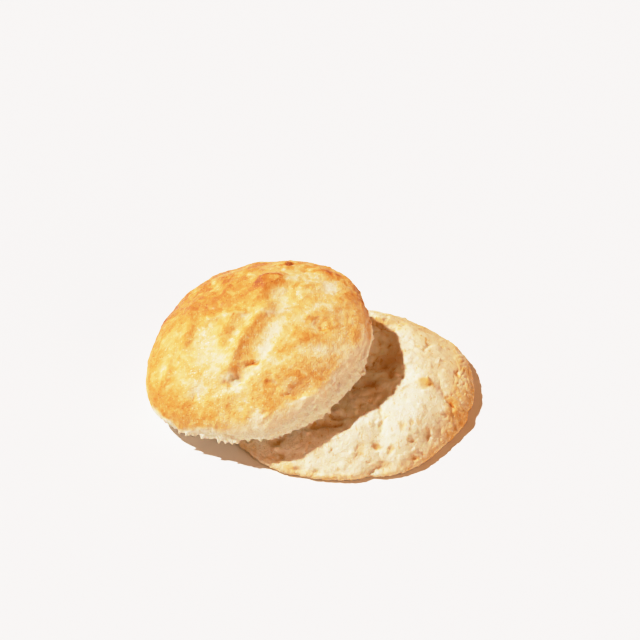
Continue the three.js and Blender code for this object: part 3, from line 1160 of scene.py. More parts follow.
@dataclass
class LowerHalf(Half):
    """The half that lies on its baked base, torn face up."""

    node: str = "lower_half"
    name: str = "lower_half_baked"
    material_slot: str = "crumb"
    finish: BakedFinish = LOWER_FINISH
    last_cell: float = 0.44
    flake_share: float = 0.006  # share of the torn face's points that carry a flake
    flake_seed: int = 5
    flake_slope: float = 0.3  # flakes grow where the upward part of the normal is above this
    mark_slope: float = 0.1  # marks are made where it is above this
    mark_height: float = 1.0  # and above this height
    flakes: Flakes = Flakes(
        length=(1.0, 2.2), width=(0.7, 1.5), thickness=(0.24, 0.36), lean=(0, 16), proud=0.1, seed=3
    )
    edge_of_crust: Round = Round((  # how far out the crumb goes
        (-150, 43.8), (-110, 43.5), (-88, 42.6), (-70, 43.2), (-55, 42.8), (-45, 41.6), (-36, 39.8),
        (-28, 38.0), (-15, 36.6), (0, 37.4), (15, 39.8), (35, 43.0), (90, 43.4), (150, 40.0), (180, 38.4),
    ))
    softness: Round = Round((  # half the width of that edge
        (-150, 0.7), (-75, 0.9), (-50, 1.6), (-15, 1.4), (0, 2.2), (20, 2.6), (60, 1.4), (150, 0.7),
    ))
    softest: float = 2.6
    tall_wall: Round = Round((  # 0 where the wall is low
        (-150, 0.0), (-75, 0.0), (-30, 0.55), (10, 0.5), (45, 0.1), (120, 0.2), (168, 0.5),
    ))
    base_skin: Pair = (1.6, 0.8)  # heights between which crumb turns into base
    flat_base: Pair = (0.0, 0.8)  # heights between which fine relief sets in
    face_height: Pair = (2.0, 4.0)  # heights between which browning marks set in
    calm: float = 0.85  # how far the face is evened before it is torn
    calm_rounds: int = 70
    shade_uneven: float = 0.5  # how much less of that the shaded side gets
    edge_wander: Wander = Wander(Lumps(3.4, 61), 0.9)
    relief_wander: Wander = Wander(Lumps(2.2, 75), 0.7)
    browning_wander: Wander = Wander(Lumps(1.8, 91), 0.8)

    crust_relief: Layers = (Layer(Pores(3.0, 0.5, 1.1, 0.6, 74), -0.6),)
    crumb_relief: Layers = (
        Layer(Creases(3.6, 71), 0.06, level=0.45),
        Layer(Terraces((Layer(Lumps(6.5, 76), 1.3), Layer(Lumps(2.4, 72), 0.5)), step=0.36), 0.2),
        Layer(Pores(6.5, 0.4, 0.9, 0.25, 73), -0.3),
    )
    shaded_relief: Layers = (
        Layer(Creases(5.0, 77), 0.7, level=0.5),
        Layer(Terraces((Layer(Lumps(7.0, 78), 2.6),), step=1.1), 0.5),
    )
    fine_crust: Layers = (
        Layer(Creases(2.4, 84), 0.34, level=0.5, wander=Wander(Lumps(4.0, 85), 1.2)),
        Layer(Lumps(0.9, 86), 0.08),
        Layer(Pores(1.8, 0.3, 0.6, 0.6, 87), -0.5),
    )
    fine_crumb: Layers = (
        Layer(Fibres(2.6, 1.1, 62, 80), 0.09, level=0.5),
        Layer(Creases(1.5, 81), 0.08, level=0.5),
        Layer(Lumps(0.9, 82), 0.05),
        Layer(Pores(2.0, 0.25, 0.5, 0.3, 83), -0.26),
    )
    crust_browning: Layers = (Layer(Lumps(4.5, 93), 0.16), Layer(Lumps(1.8, 94), 0.14))
    crumb_browning: Layers = (Layer(Lumps(6.0, 92), 0.09), Layer(Patches(3.0, 95, 0.15, 0.6), 0.1))
    # browner patches on the shaded side, as painted shade
    painted_shade_patches: Layer = Layer(Patches(5.0, 96, 0.0, 0.3), 0.35)
    crumb_ground: float = 0.01  # browning that all crumb has
    crust_ground: float = 0.08
    hole_painted_shade: float = 0.7  # painted shade inside holes, for each mm of a hole's depth
    edge_browning: float = 0.3  # of the crumb by the crust
    edge_width: float = 9.0
    tall_browning: float = 0.17
    shoulder_browning: float = 0.2
    shoulder: Pair = (2.0, 6.0)  # where that sets in, out from the edge
    foot_browning: float = 0.3
    foot_height: Pair = (1.2, 0.0)
    low_foot: float = 0.6  # share of the foot's browning where the wall is low
    bump_browning: float = 0.35
    bump_rounds: int = 60
    bump_limit: float = 0.4
    hollows: float = 0.65  # how strongly hollows count toward painted shade, and how much more in the shade
    hollows_shaded: float = 0.2
    wide_hollows: float = 0.25
    wide_shaded: float = 0.25
    broad_shaded: float = 0.5
    butter: float = 0.3

    holes: Marks = (  # each is darker inside, the deeper the more, as painted shade
        Spot(11.4, -40.6, 3.1, 1.5, 8, -1.5),  # large hole by the front edge
        Spot(7.2, -41.6, 1.6, 0.8, 0, -1.1),
        Spot(9.8, -34.4, 2.0, 1.0, -10, -1.0),
        Spot(14.3, -35.2, 1.1, 1.1, 30, -1.0),
        Spot(3.8, -36.2, 1.1, 2.4, -20, -0.4),
        Spot(7.8, -39.2, 1.6, 0.6, 30, -0.4),
        Spot(12.7, -24.2, 1.0, 0.4, 50, -0.9),
        Spot(18.3, -28.0, 1.1, 1.6, 0, -0.6),
        Spot(21.4, -26.4, 0.6, 1.5, -10, -0.6),
        Spot(26.9, -27.8, 0.7, 2.0, -6, -0.9),
        Spot(21.3, -31.8, 1.2, 0.8, 0, -0.7),
        Spot(22.6, -36.0, 1.2, 0.6, 14, -1.0),
        Spot(25.0, -34.0, 0.5, 0.4, 0, -0.9),
        Spot(16.6, -41.6, 0.5, 0.4, 0, -0.9),
        Spot(19.1, -5.0, 0.35, 0.9, -20, -0.8),
        Spot(16.3, -11.6, 0.6, 0.5, 0, -0.9),
        Spot(33.8, 5.2, 0.9, 0.5, 20, -0.8),
        Spot(38.2, 1.0, 0.6, 1.4, -10, -1.0),
        Spot(25.2, 11.2, 0.7, 0.9, 20, -0.6),
        Spot(35.7, -13.8, 1.5, 0.8, -36, -1.3),  # pit in the crust
        Spot(34.0, -11.8, 0.5, 1.4, -36, -0.7),
        Spot(36.9, -20.6, 0.6, 0.5, 0, -0.9),
        Spot(34.2, -25.0, 0.4, 0.9, -30, -0.6),
        Spot(-16.6, -40.8, 1.8, 0.6, -20, -1.1),
        Spot(-10.6, -41.8, 1.3, 0.5, -8, -0.9),
        Spot(-22.6, -35.6, 1.6, 0.7, -30, -1.0),
    )
    splits: Marks = (
        Stroke((9.4, -18.6), (12.8, -23.6), (10.6, -29.6), 0.5, -0.7),  # the long split
        Stroke((9.6, -35.0), (10.0, -37.4), (12.0, -39.4), 0.4, -0.6),
        Stroke((14.2, -35.8), (13.0, -37.2), (12.4, -39.0), 0.4, -0.5),
        Stroke((31.2, -1.0), (31.6, -5.0), (33.4, -10.4), 0.4, -0.5),  # crease by the crust
        Stroke((27.2, 9.0), (27.8, 12.2), (30.2, 14.2), 0.6, -0.8),  # back slit
    )
    dark_holes: Marks = (  # in the shade of the other half
        Spot(8.0, -7.4, 2.4, 2.2, 0, -1.9),
        Spot(-24.0, -31.0, 2.4, 1.4, 8, -1.6),
        Stroke((-12.4, -28.4), (-8.0, -26.4), (-2.4, -27.6), 1.0, -1.4),
        Stroke((-6.0, -23.4), (-3.0, -25.8), (1.6, -24.6), 0.8, -1.1),
        Spot(13.4, 2.4, 3.0, 1.6, 10, -1.3),
        Spot(14.6, 10.4, 0.9, 3.4, -8, -0.9),
        Spot(11.6, 15.0, 0.8, 2.6, 10, -0.8),
        Stroke((16.0, 0.4), (13.4, -1.8), (15.2, -4.2), 0.8, -1.2),
        Stroke((10.6, 28.4), (11.4, 23.6), (16.6, 23.4), 0.9, -1.3),  # broken back corner
    )
    shaded_side: Spot = Spot(2.0, 0.0, 19.0, 42.0, -24, 1.0)  # the most torn part of the face, in the other half's shadow, where the colour gets painted shade too
    crests: Marks = (
        Stroke((9.8, -2.6), (13.4, -2.0), (17.0, -4.4), 0.9, 1.3),  # ledge that catches light
        Spot(26.9, -8.0, 2.4, 1.8, 0, 0.5),  # brown tuft
        Spot(28.2, -9.0, 0.7, 0.6, 0, -0.6),
        Spot(25.6, -8.2, 0.5, 0.4, 0, -0.5),
        Spot(29.6, -9.0, 2.4, 3.4, 8, 0.8),  # fills the low places of the lit side
        Spot(28.0, -25.0, 2.4, 2.6, 0, 0.6),
        Spot(23.2, -22.4, 2.2, 2.4, 0, 0.5),
        Spot(31.2, 12.6, 1.8, 1.8, 0, 0.6),  # white lobe behind the back slit
        Stroke((-16.0, -25.4), (-10.6, -23.0), (-3.4, -21.6), 1.4, 1.1),  # torn fold in the shade
        Stroke((12.6, 6.8), (17.8, 4.8), (21.4, 1.6), 1.0, 0.8),
    )
    # marks of toast, and on the shaded side marks of painted shade
    toast_and_shade: Marks = (
        Spot(26.9, -8.2, 3.2, 2.4, 10, 0.8),
        Spot(28.6, -8.8, 1.2, 1.2, 0, 0.3),
        Spot(36.0, -12.0, 2.6, 1.6, -30, 0.2),  # round the pit in the crust
        Spot(36.0, -18.0, 3.0, 6.0, -20, 0.12),
        Spot(3.8, -36.2, 2.0, 3.0, -20, 0.14),
        # these, up to the golden back, lie in the other half's shadow and are painted shade
        Spot(8.2, -7.4, 2.6, 2.6, 0, 0.75),
        Spot(-24.0, -31.2, 3.4, 1.8, 8, 0.75),
        Spot(15.6, -3.8, 1.6, 1.6, 0, 0.7),
        Spot(10.6, 25.8, 3.0, 3.6, 0, 0.5),
        Spot(16.6, 8.0, 3.0, 6.0, -15, 0.4),
        Spot(13.0, 2.6, 4.4, 3.0, 0, 0.4),
        Spot(-9.0, -27.0, 3.2, 1.8, 12, 0.6),
        Spot(-3.6, -25.4, 2.2, 1.4, 20, 0.5),
        Spot(-12.0, -32.0, 10.0, 4.0, 10, 0.3),
        Spot(5.0, -13.0, 5.0, 6.0, 0, 0.25),
        Spot(22.0, 29.0, 16.0, 9.0, -35, 0.6),  # golden back
        Spot(31.0, 5.0, 8.0, 16.0, 0, 0.24),
        Spot(26.0, 9.0, 7.0, 8.0, 0, 0.16),
    )

    def crust_share(self, places: Array) -> Array:
        """Tells crust from crumb, as 1 on the wall and base and 0 on the torn face.

        Args:
            places: Places, one a row.

        Returns:
            One share from 0 to 1 for each place.
        """
        radius, _ = polar(self.edge_wander.moved(places))
        _, angles = polar(places)
        edge, soft = self.edge_of_crust.at(angles), self.softness.at(angles)
        return np.maximum(eased(radius, edge - soft, edge + soft), eased(places[:, 2], *self.base_skin))

    def tear(self, surface: Surface) -> None:
        """Evens the torn face, and adds its flakes, holes, splits and crests.

        Args:
            surface: The half, after its facets are smoothed off.
        """
        places = surface.points
        shaded = self.shaded_side.at(places)
        calm = (self.calm - self.shade_uneven * shaded) * (1 - self.crust_share(places))
        surface.points = places + calm[:, None] * (surface.averaged(places, self.calm_rounds) - places)
        places, normals = surface.points, surface.normals
        crust = self.crust_share(places)
        wavy = self.relief_wander.moved(places)
        face = (normals[:, 2] > self.mark_slope) & (places[:, 2] > self.mark_height)
        heights = self.on_both(crust, places, self.crust_relief, self.crumb_relief)
        heights += face * total_of((*self.holes, *self.splits, *self.dark_holes, *self.crests), wavy)
        heights += shaded * (1 - crust) * total_of(self.shaded_relief, wavy)
        surface.push(heights)
        draw = np.random.default_rng(self.flake_seed)
        places, normals = surface.points, surface.normals
        share = self.flake_share * (1 - crust) * (normals[:, 2] > self.flake_slope)
        chosen = draw.random(len(places)) < share
        surface.join(self.flakes.made(places[chosen], normals[chosen]))

    def fine_relief(self, surface: Surface) -> Array:
        """Gives fine crumbs and pinholes on the torn face, and dimples on the crust.

        Args:
            surface: The torn half.

        Returns:
            One height for each point.
        """
        places = surface.points
        heights = self.on_both(self.crust_share(places), places, self.fine_crust, self.fine_crumb)
        return heights * eased(places[:, 2], *self.flat_base)

    def brown(self, surface: Surface) -> None:
        """Stores where the crust is, how brown it is with its painted shade, and which points lie deep, for
        painted shade in hollows.

        Args:
            surface: The finished half.
        """
        places = surface.points
        crust, shaded = self.crust_share(places), self.shaded_side.at(places)
        # painted shade in hollows, stronger on the shaded side
        wide = (self.wide_hollows + self.wide_shaded * shaded) * surface.sunk(WIDE_HOLLOWS)
        sunk = (self.hollows + self.hollows_shaded * shaded) * (surface.sunk(SMALL_HOLLOWS) + wide)
        sunk += self.broad_shaded * shaded * surface.sunk(BROAD_HOLLOWS)
        surface.store(Mask.CRUST, crust)
        surface.store(Mask.BAKE, self.baked(surface, crust, shaded))
        surface.store(Mask.HOLLOW_SHADE, self.crumb_hollow_shade + sunk)
        surface.store(Mask.BUTTER, self.butter * crust)

    def baked(self, surface: Surface, crust: Array, shaded: Array) -> Array:
        """Gives how brown each point is, with painted shade in holes, in marks on the shaded side and in
        patches there.

        Args:
            surface: The half.
            crust: How far each point is crust.
            shaded: How far each point lies on the shaded side.

        Returns:
            The browning, from 0 for pale to 1 for dark.
        """
        places = surface.points
        wavy = self.browning_wander.moved(places)
        radius, angles = polar(places)
        edge, tall = self.edge_of_crust.at(angles), self.tall_wall.at(angles)
        # toast, and painted shade marks on the shaded side
        browning_and_shade = total_of(self.toast_and_shade, wavy)
        # painted shade inside holes
        browning_and_shade += self.hole_painted_shade * np.clip(-total_of(self.holes, wavy), 0, 1)
        browning_and_shade *= eased(places[:, 2], *self.face_height)
        by_crust = eased(radius, edge - self.edge_width, edge) * self.softness.at(angles) / self.softest
        toast = self.crumb_ground + browning_and_shade + total_of(self.crumb_browning, wavy)
        # painted shade patches on the shaded side, and browning by the crust
        toast += shaded * self.painted_shade_patches.at(wavy) + self.edge_browning * by_crust
        outer = eased(radius - edge, *self.shoulder)
        foot = eased(places[:, 2], *self.foot_height) * (self.low_foot + tall)
        bump = -np.clip(surface.sunk(self.bump_rounds), -self.bump_limit, self.bump_limit)
        bake_and_shade = self.crust_ground + self.tall_browning * tall + total_of(self.crust_browning, places) + browning_and_shade
        bake_and_shade += self.shoulder_browning * outer * tall + self.foot_browning * foot
        bake_and_shade += self.bump_browning * bump
        return crust * bake_and_shade + (1 - crust) * toast


@dataclass
class UpperHalf(Half):
    """The half that lies slanting on the other, baked crust up."""

    node: str = "upper_half"
    name: str = "upper_half_baked"
    material_slot: str = "crust"
    finish: BakedFinish = UPPER_FINISH
    centre: Triple = (-30.6, 3.6, 16.2)
    up: Triple = (-0.19, -0.14, 0.972)
    rim: float = 39.3  # mean radius of the torn edge
    shoulder: float = 35.9  # where the side turns into the top
    flake_share: float = 0.03  # share of the underside's points that carry a flake
    tooth_share: float = 0.1  # the same for teeth on the torn edge
    layer_share: float = 0.07  # and for layers on the side
    layered_angle: float = 28.0  # where on the side the most layers are
    layered_reach: float = 22.0
    pick_seed: int = 15
    under_height: float = 0.5  # the underside lies below this, and inside the rim by the next
    under_margin: float = 3.0
    tooth_height: float = 0.1  # mean height of the torn edge, and how far teeth are from it
    tooth_reach: float = 0.8
    tooth_margin: float = 3.4
    tooth_outward: float = 0.5  # how far a tooth points out, and how far down
    tooth_down: float = 0.9
    side_height: Pair = (1.0, 7.5)

    flakes: Flakes = Flakes(
        length=(1.0, 2.4), width=(0.8, 1.6), thickness=(0.35, 0.55), lean=(0, 30), proud=0.2, seed=13
    )
    teeth: Flakes = Flakes(
        length=(0.6, 1.4), width=(0.45, 0.9), thickness=(0.3, 0.45), lean=(20, 60), proud=0.4, seed=14
    )
    layers: Flakes = Flakes(
        length=(1.2, 2.6), width=(0.7, 1.2), thickness=(0.24, 0.32), lean=(0, 8), proud=0.0, seed=15
    )

    foot_of_crust: Round = Round((  # how far up the side the crumb shows
        (-160, 1.4), (-140, 2.0), (-122, 3.0), (-108, 3.8), (-96, 4.6), (-86, 5.6), (-72, 6.4),
        (-58, 6.8), (-46, 7.0), (-34, 6.6), (-20, 5.4), (-8, 3.6), (8, 1.8), (40, 1.0), (120, 0.8),
    ))
    toothed: Round = Round((  # share of the teeth that are there
        (-150, 0.3), (-125, 1.0), (-75, 1.0), (-45, 0.5), (20, 0.15), (160, 0.08),
    ))
    rim_browning: Round = Round((  # what is added to the browning by the rim
        (-150, 0.16), (-125, 0.08), (-105, -0.04), (-60, -0.04), (-25, 0.0), (5, 0.05), (35, 0.2),
        (60, 0.28), (95, 0.32), (130, 0.33), (158, 0.33), (180, 0.26),
    ))

    browning_and_shade: Marks = (
        Spot(-9.0, 29.0, 6.0, 5.0, 0, 0.22),  # back left
        Spot(2.0, 30.0, 7.0, 4.6, 0, 0.16),
        Spot(27.6, 23.4, 4.6, 2.4, -28, 0.5),
        Spot(7.4, 16.4, 4.2, 2.6, 0, 0.2),  # large blister
        Stroke((2.8, 14.0), (4.6, 20.4), (11.0, 18.2), 1.4, 0.46),  # its brown edge
        Stroke((5.0, 14.0), (4.6, 10.0), (3.0, 5.4), 2.0, 0.28),  # its tail
        Spot(-14.0, 17.0, 27.0, 18.0, 20, 0.74),  # golden upper left, browner still where the key light falls most, as painted shade
        Spot(33.2, 11.4, 2.4, 3.6, -14, 0.4),
        Spot(-22.0, 14.0, 9.0, 5.0, -30, 0.16),
        Spot(-30.0, 17.0, 4.0, 5.0, -50, 0.2),
        Stroke((6.6, 0.4), (1.4, -4.6), (-2.4, -16.0), 1.8, 0.26),  # main ridge
        Spot(-6.0, -4.2, 3.2, 2.2, 20, 0.2),  # small blister
        Stroke((-10.4, -4.6), (-9.6, -8.0), (-7.0, -12.0), 1.5, 0.14),
        Spot(13.2, -12.6, 4.8, 3.0, 0, 0.26),
        Spot(19.4, -9.8, 4.0, 2.0, -18, 0.4),
        Spot(24.0, -8.4, 2.6, 1.5, 30, 0.2),
        Spot(16.0, -6.2, 1.6, 2.4, -10, 0.28),
        Stroke((22.0, -1.4), (26.2, -0.6), (26.6, -4.4), 1.2, 0.24),  # ring round the dent
        Spot(36.0, -4.2, 2.0, 3.4, -8, 0.28),
        Spot(20.6, -23.8, 10.6, 3.6, -4, 0.16),  # golden swell in front
        Spot(29.0, -25.0, 3.6, 2.4, 10, 0.3),
        Spot(10.6, -23.6, 2.6, 2.0, 0, 0.14),
        Spot(5.8, -30.2, 2.0, 4.6, 6, 0.3),
        Spot(-3.4, -32.6, 6.0, 2.2, 0, 0.2),
        Spot(-15.2, -31.4, 3.4, 2.2, 0, 0.26),
        Spot(-21.4, -28.4, 4.0, 2.2, -30, 0.16),
        Stroke((-25.6, -10.0), (-27.6, -14.0), (-29.4, -18.0), 2.0, 0.3),
        Spot(-31.4, -24.0, 8.0, 4.4, -48, 0.26),
        Spot(-34.4, -6.6, 2.6, 4.0, 0, 0.16),
        Spot(-25.0, -5.0, 3.4, 3.0, 0, 0.16),
        Spot(-6.0, 12.0, 6.0, 6.0, 0, 0.04),
    )
    scorched: Marks = (
        Spot(13.0, 29.6, 2.6, 1.3, 10, 0.4),
        Stroke((3.6, 16.4), (5.0, 20.4), (11.4, 18.2), 0.8, 0.2),  # round the large blister
        Spot(27.4, 23.8, 3.4, 1.4, -28, 0.14),
        Spot(25.4, -5.6, 1.0, 0.7, 10, 0.3),
        Spot(1.8, -18.2, 1.4, 0.6, 14, 0.3),  # small brown crack
        Spot(34.0, 12.0, 1.6, 3.0, -14, 0.12),
    )
    pale: Marks = (
        Spot(28.0, 14.6, 4.4, 3.4, -6, -0.5),  # cream patch
        Spot(18.0, 9.8, 2.2, 2.2, 0, -0.26),
        Stroke((-14.4, 3.2), (-4.0, 2.8), (0.0, 1.0), 1.2, -0.4),  # pale crest, partly a painted highlight along it
        # the pale crest's painted highlight goes on here
        Stroke((3.0, 0.4), (8.4, 2.0), (14.0, 1.4), 1.2, -0.46),
        Spot(11.8, 6.2, 3.4, 4.6, 0, -0.32),
        Spot(11.6, 25.8, 1.2, 2.6, 8, -0.4),
        Spot(-3.4, 25.4, 1.2, 2.2, 12, -0.3),
        Spot(-12.6, 21.4, 1.5, 5.6, 12, -0.32),
        Spot(15.6, 18.6, 3.6, 2.2, 0, -0.3),
        Spot(0.4, 22.0, 1.6, 3.4, 10, -0.24),
        Spot(10.6, 12.4, 2.6, 2.0, 0, -0.3),
        Spot(-14.6, -8.2, 5.4, 6.6, -12, -0.26),  # pale hollow
        Spot(-10.8, -15.4, 3.6, 3.8, 20, -0.34),
        Spot(-14.4, -1.4, 3.2, 2.0, 0, -0.22),
        Spot(-3.4, -6.4, 1.6, 1.2, 0, -0.26),
        Spot(5.4, -12.4, 2.4, 5.4, -14, -0.52),  # pale valley
        Spot(8.8, -5.6, 3.0, 2.2, -12, -0.4),
        Spot(12.4, -2.8, 2.6, 1.6, 0, -0.26),
        Spot(7.8, -18.6, 3.0, 2.0, 0, -0.4),
        Spot(17.4, -2.6, 1.4, 2.2, 0, -0.2),
        Spot(22.6, -4.2, 1.7, 1.7, 0, -0.2),
        Stroke((20.4, 1.2), (22.4, 4.6), (27.2, 5.6), 1.3, -0.32),
        Spot(24.6, -14.6, 4.4, 2.2, 4, -0.42),
        Spot(29.6, -11.6, 3.6, 3.2, 0, -0.24),
        Spot(32.8, -14.6, 2.4, 3.4, -20, -0.26),
        Stroke((38.6, -3.0), (37.0, -14.0), (31.0, -26.0), 1.8, -0.4),  # pale right side
        Spot(-5.4, -26.0, 5.2, 1.7, 6, -0.5),  # ragged white edge
        Spot(-8.8, -21.6, 2.6, 1.6, 20, -0.34),
        Spot(0.6, -21.6, 4.2, 2.2, 24, -0.34),
        Spot(17.4, -31.2, 5.0, 1.5, 2, -0.55),
        Spot(-19.2, -23.8, 3.4, 2.4, 0, -0.44),
        Spot(-3.0, -30.4, 3.0, 2.6, 0, -0.24),
        Spot(12.6, -26.4, 3.4, 1.6, 10, -0.24),
        Spot(-9.6, -33.6, 2.4, 1.6, 0, -0.2),
        Spot(-14.6, -20.4, 3.6, 2.6, 0, -0.22),
        Spot(1.2, -35.2, 2.4, 2.0, 0, -0.5),  # pale oval
        Spot(-31.8, -12.2, 2.6, 2.4, 0, -0.3),
        Spot(-29.4, -19.6, 1.2, 0.9, 0, -0.45),
        Spot(-28.0, 1.2, 6.4, 2.6, -6, -0.16),
        Spot(-20.6, 4.4, 3.4, 3.0, 0, -0.12),
    )
    cracks: Marks = (
        Stroke((-0.4, -19.0), (1.6, -17.8), (3.4, -18.4), 0.55, -1.0),
        Stroke((6.2, -25.8), (8.4, -26.4), (9.4, -27.4), 0.5, -0.8),
        Stroke((10.6, -29.8), (13.0, -29.4), (16.8, -29.8), 0.4, -0.9),
        Stroke((24.6, -5.2), (25.4, -5.6), (26.4, -5.2), 0.5, -0.8),
        Stroke((-8.6, -22.8), (-6.2, -25.0), (-4.4, -25.0), 0.45, -0.9),
        Stroke((-4.2, -20.2), (-4.4, -22.6), (-2.2, -24.2), 0.45, -0.9),
        Stroke((-6.4, -22.0), (-5.2, -23.4), (-3.4, -23.0), 0.4, -0.6),
        Stroke((-20.6, -26.6), (-19.6, -25.6), (-19.4, -24.6), 0.4, -0.6),
        Stroke((12.0, 29.2), (13.2, 28.4), (14.6, 29.4), 0.5, -0.7),
    )
    tear_hole: Spot = Spot(-5.2, -22.9, 3.0, 1.9, 14, 1.0)  # where the crust is torn open
    folds: Marks = (
        Stroke((8.4, 1.6), (0.8, -1.0), (-4.8, -15.6), 1.7, 0.45),  # main ridge
        Stroke((-14.0, 3.0), (-4.0, 3.2), (2.0, 2.2), 1.0, 0.5),  # pale crest
        Spot(7.4, 17.2, 4.4, 3.4, 20, 0.8),  # large blister
        Spot(-6.9, -4.2, 2.3, 1.6, 20, 0.5),  # small blister
        Stroke((-10.4, -3.6), (-9.8, -8.0), (-7.4, -12.0), 1.0, 0.4),
        Stroke((20.8, -1.4), (26.8, 0.6), (26.8, -5.0), 0.9, 0.6),  # ring round the dent
        Spot(18.8, -10.4, 4.6, 2.0, -18, 0.5),
        Stroke((-22.0, 10.0), (-19.0, 2.0), (-23.0, -6.0), 1.3, 0.5),
        Stroke((-27.0, -6.0), (-28.6, -13.0), (-31.0, -18.0), 1.2, 0.5),
    )
    ragged: Marks = (
        Stroke((-9.4, -24.4), (-5.6, -26.6), (0.4, -24.4), 0.7, 0.7),
        Stroke((-4.0, -20.2), (-1.2, -20.6), (1.0, -20.0), 0.7, 0.5),
        Stroke((8.0, -28.6), (13.6, -30.6), (20.0, -30.0), 0.8, 0.2),
        Stroke((6.0, -34.4), (1.6, -37.4), (-2.0, -34.8), 0.6, 0.4),
    )

    browned_strength: float = 0.55
    pale_strength: float = 0.75
    brownest: float = 0.74  # browning above this counts by the share after it
    over_brown: float = 0.5
    crumb_ground: float = 0.02  # browning that all crumb has
    crust_ground: float = 0.42
    rim_span: Pair = (10.0, 2.0)  # where the rim's browning sets in, in from the rim
    foot_paling: float = 0.4  # of the crust by the crumb, where much crumb shows
    foot_span: Pair = (2.0, 6.0)
    foot_reach: float = 5.0
    # paler on the right, where less key light falls: painted light
    right_painted_light: float = 0.05
    right_span: Pair = (16.0, 34.0)
    lively: Pair = (0.65, 0.9)  # how strong patches are in front, and more at the back
    lively_span: Pair = (4.0, 24.0)
    pale_ground: Pair = (0.06, 0.13)  # how pale pale patches are, and more where patches are strong
    # painted shade along the cracks
    crack_painted_shade: float = 0.25
    hollow_paling: float = 0.3
    hollow_rounds: int = 70
    hollow_limit: float = 0.3
    hollows: float = 0.8  # how strongly small hollows count toward painted shade, and wide ones
    wide_hollows: float = 0.3
    butter: float = 0.1
    butter_back: float = 0.5  # more of it at the back left
    buttery: Pair = (0.0, 25.0)
    crumb_butter: float = 0.08
    softness: float = 0.8  # half width of the crust's lower edge, and more for each mm of its height
    softness_growth: float = 0.26
    relief_top: Pair = (5.0, 8.0)  # heights between which the top's marks set in
    browning_top: Pair = (3.0, 6.0)
    hole_height: float = 4.0  # the torn hole is above this
    hole_torn: float = 1.6  # how surely the crust is gone in it
    hole_depth: float = 0.5
    hole_paling: float = 0.6
    bubble_rise: float = 0.06  # what the bubbles add on the whole, taken off again
    foot_wander: Wander = Wander(Lumps(8.0, 164), 2.4)
    edge_wander: Wander = Wander(Lumps(2.6, 161), 0.9)
    relief_wander: Wander = Wander(Lumps(2.0, 171), 0.6)
    coarse_wander: Wander = Wander(Lumps(3.6, 191), 1.2)
    browning_wander: Wander = Wander(Lumps(1.5, 192), 0.7)

    crust_relief: Layers = (
        Layer(Creases(3.8, 172), 0.2, level=0.5, wander=Wander(Lumps(5.0, 173), 1.6)),
        Layer(Lumps(2.0, 174), 0.14),
        Layer(Pores(4.6, 0.5, 1.3, 0.35, 175), -0.35),
    )
    crumb_relief: Layers = (
        Layer(Creases(3.2, 176), 0.3, level=0.5),
        Layer(Lumps(1.8, 177), 0.14),
        Layer(Pores(4.0, 0.5, 1.2, 0.35, 178), -0.5),
    )
    ragged_lumps: Layer = Layer(Lumps(1.8, 179), 1.0, level=-0.5)
    fine_crust: Layers = (
        Layer(Pores(1.7, 0.4, 0.9, 0.9, 181), 0.1),  # above 0, so these are bubbles
        Layer(Lumps(1.3, 182), 0.07),
        Layer(Lumps(0.8, 183), 0.04),
    )
    fine_crumb: Layers = (
        Layer(Lumps(1.5, 184), 0.15),
        Layer(Lumps(0.9, 185), 0.1),
        Layer(Pores(2.2, 0.3, 0.7, 0.35, 186), -0.3),
    )
    crust_browning: Layers = (
        Layer(Lumps(5.0, 193), 0.07),
        Layer(Lumps(1.6, 194), 0.05),
        Layer(Lumps(0.9, 195), 0.04),
    )
    crumb_browning: Layer = Layer(Lumps(4.0, 196), 0.12)
    golden_patches: Layer = Layer(Patches(3.2, 198, -0.1, 0.28), 0.16, level=0.4)
    pale_patches: Patches = Patches(2.0, 199, 0.26, 0.42)
    butter_patches: Layer = Layer(Lumps(7.0, 197), 0.3)

    def climb(self, own: Array) -> Array:
        """Gives how far up the side and in over the top each point is."""
        radius, _ = polar(own)
        return own[:, 2] + np.maximum(0, self.shoulder - radius)

    def crust_share(self, own: Array) -> Array:
        """Tells crust from crumb, as 1 on the baked top and side and 0 on torn crumb.

        Args:
            own: Places in the half's own frame.

        Returns:
            One share from 0 to 1 for each place.
        """
        wavy = self.edge_wander.moved(self.foot_wander.moved(own))
        _, angles = polar(own)
        foot = self.foot_of_crust.at(angles)
        soft = self.softness + self.softness_growth * foot
        skin = eased(self.climb(wavy), foot - soft, foot + soft)
        torn = self.tear_hole.at(wavy) * (own[:, 2] > self.hole_height)
        return skin * (1 - np.clip(self.hole_torn * torn, 0, 1))

    def tear(self, surface: Surface) -> None:
        """Adds the torn edge's teeth, the flaky side, and the crust's cracks and folds.

        Args:
            surface: The half, after its facets are smoothed off.
        """
        own = self.own(surface.points)
        top = eased(own[:, 2], *self.relief_top)
        wavy = self.relief_wander.moved(own)
        marked = total_of((*self.cracks, *self.folds), wavy) - self.hole_depth * self.tear_hole.at(wavy)
        marked += total_of(self.ragged, wavy) * self.ragged_lumps.at(own)
        heights = self.on_both(self.crust_share(own), own, self.crust_relief, self.crumb_relief)
        surface.push(heights + top * marked)
        self.add_flakes(surface)

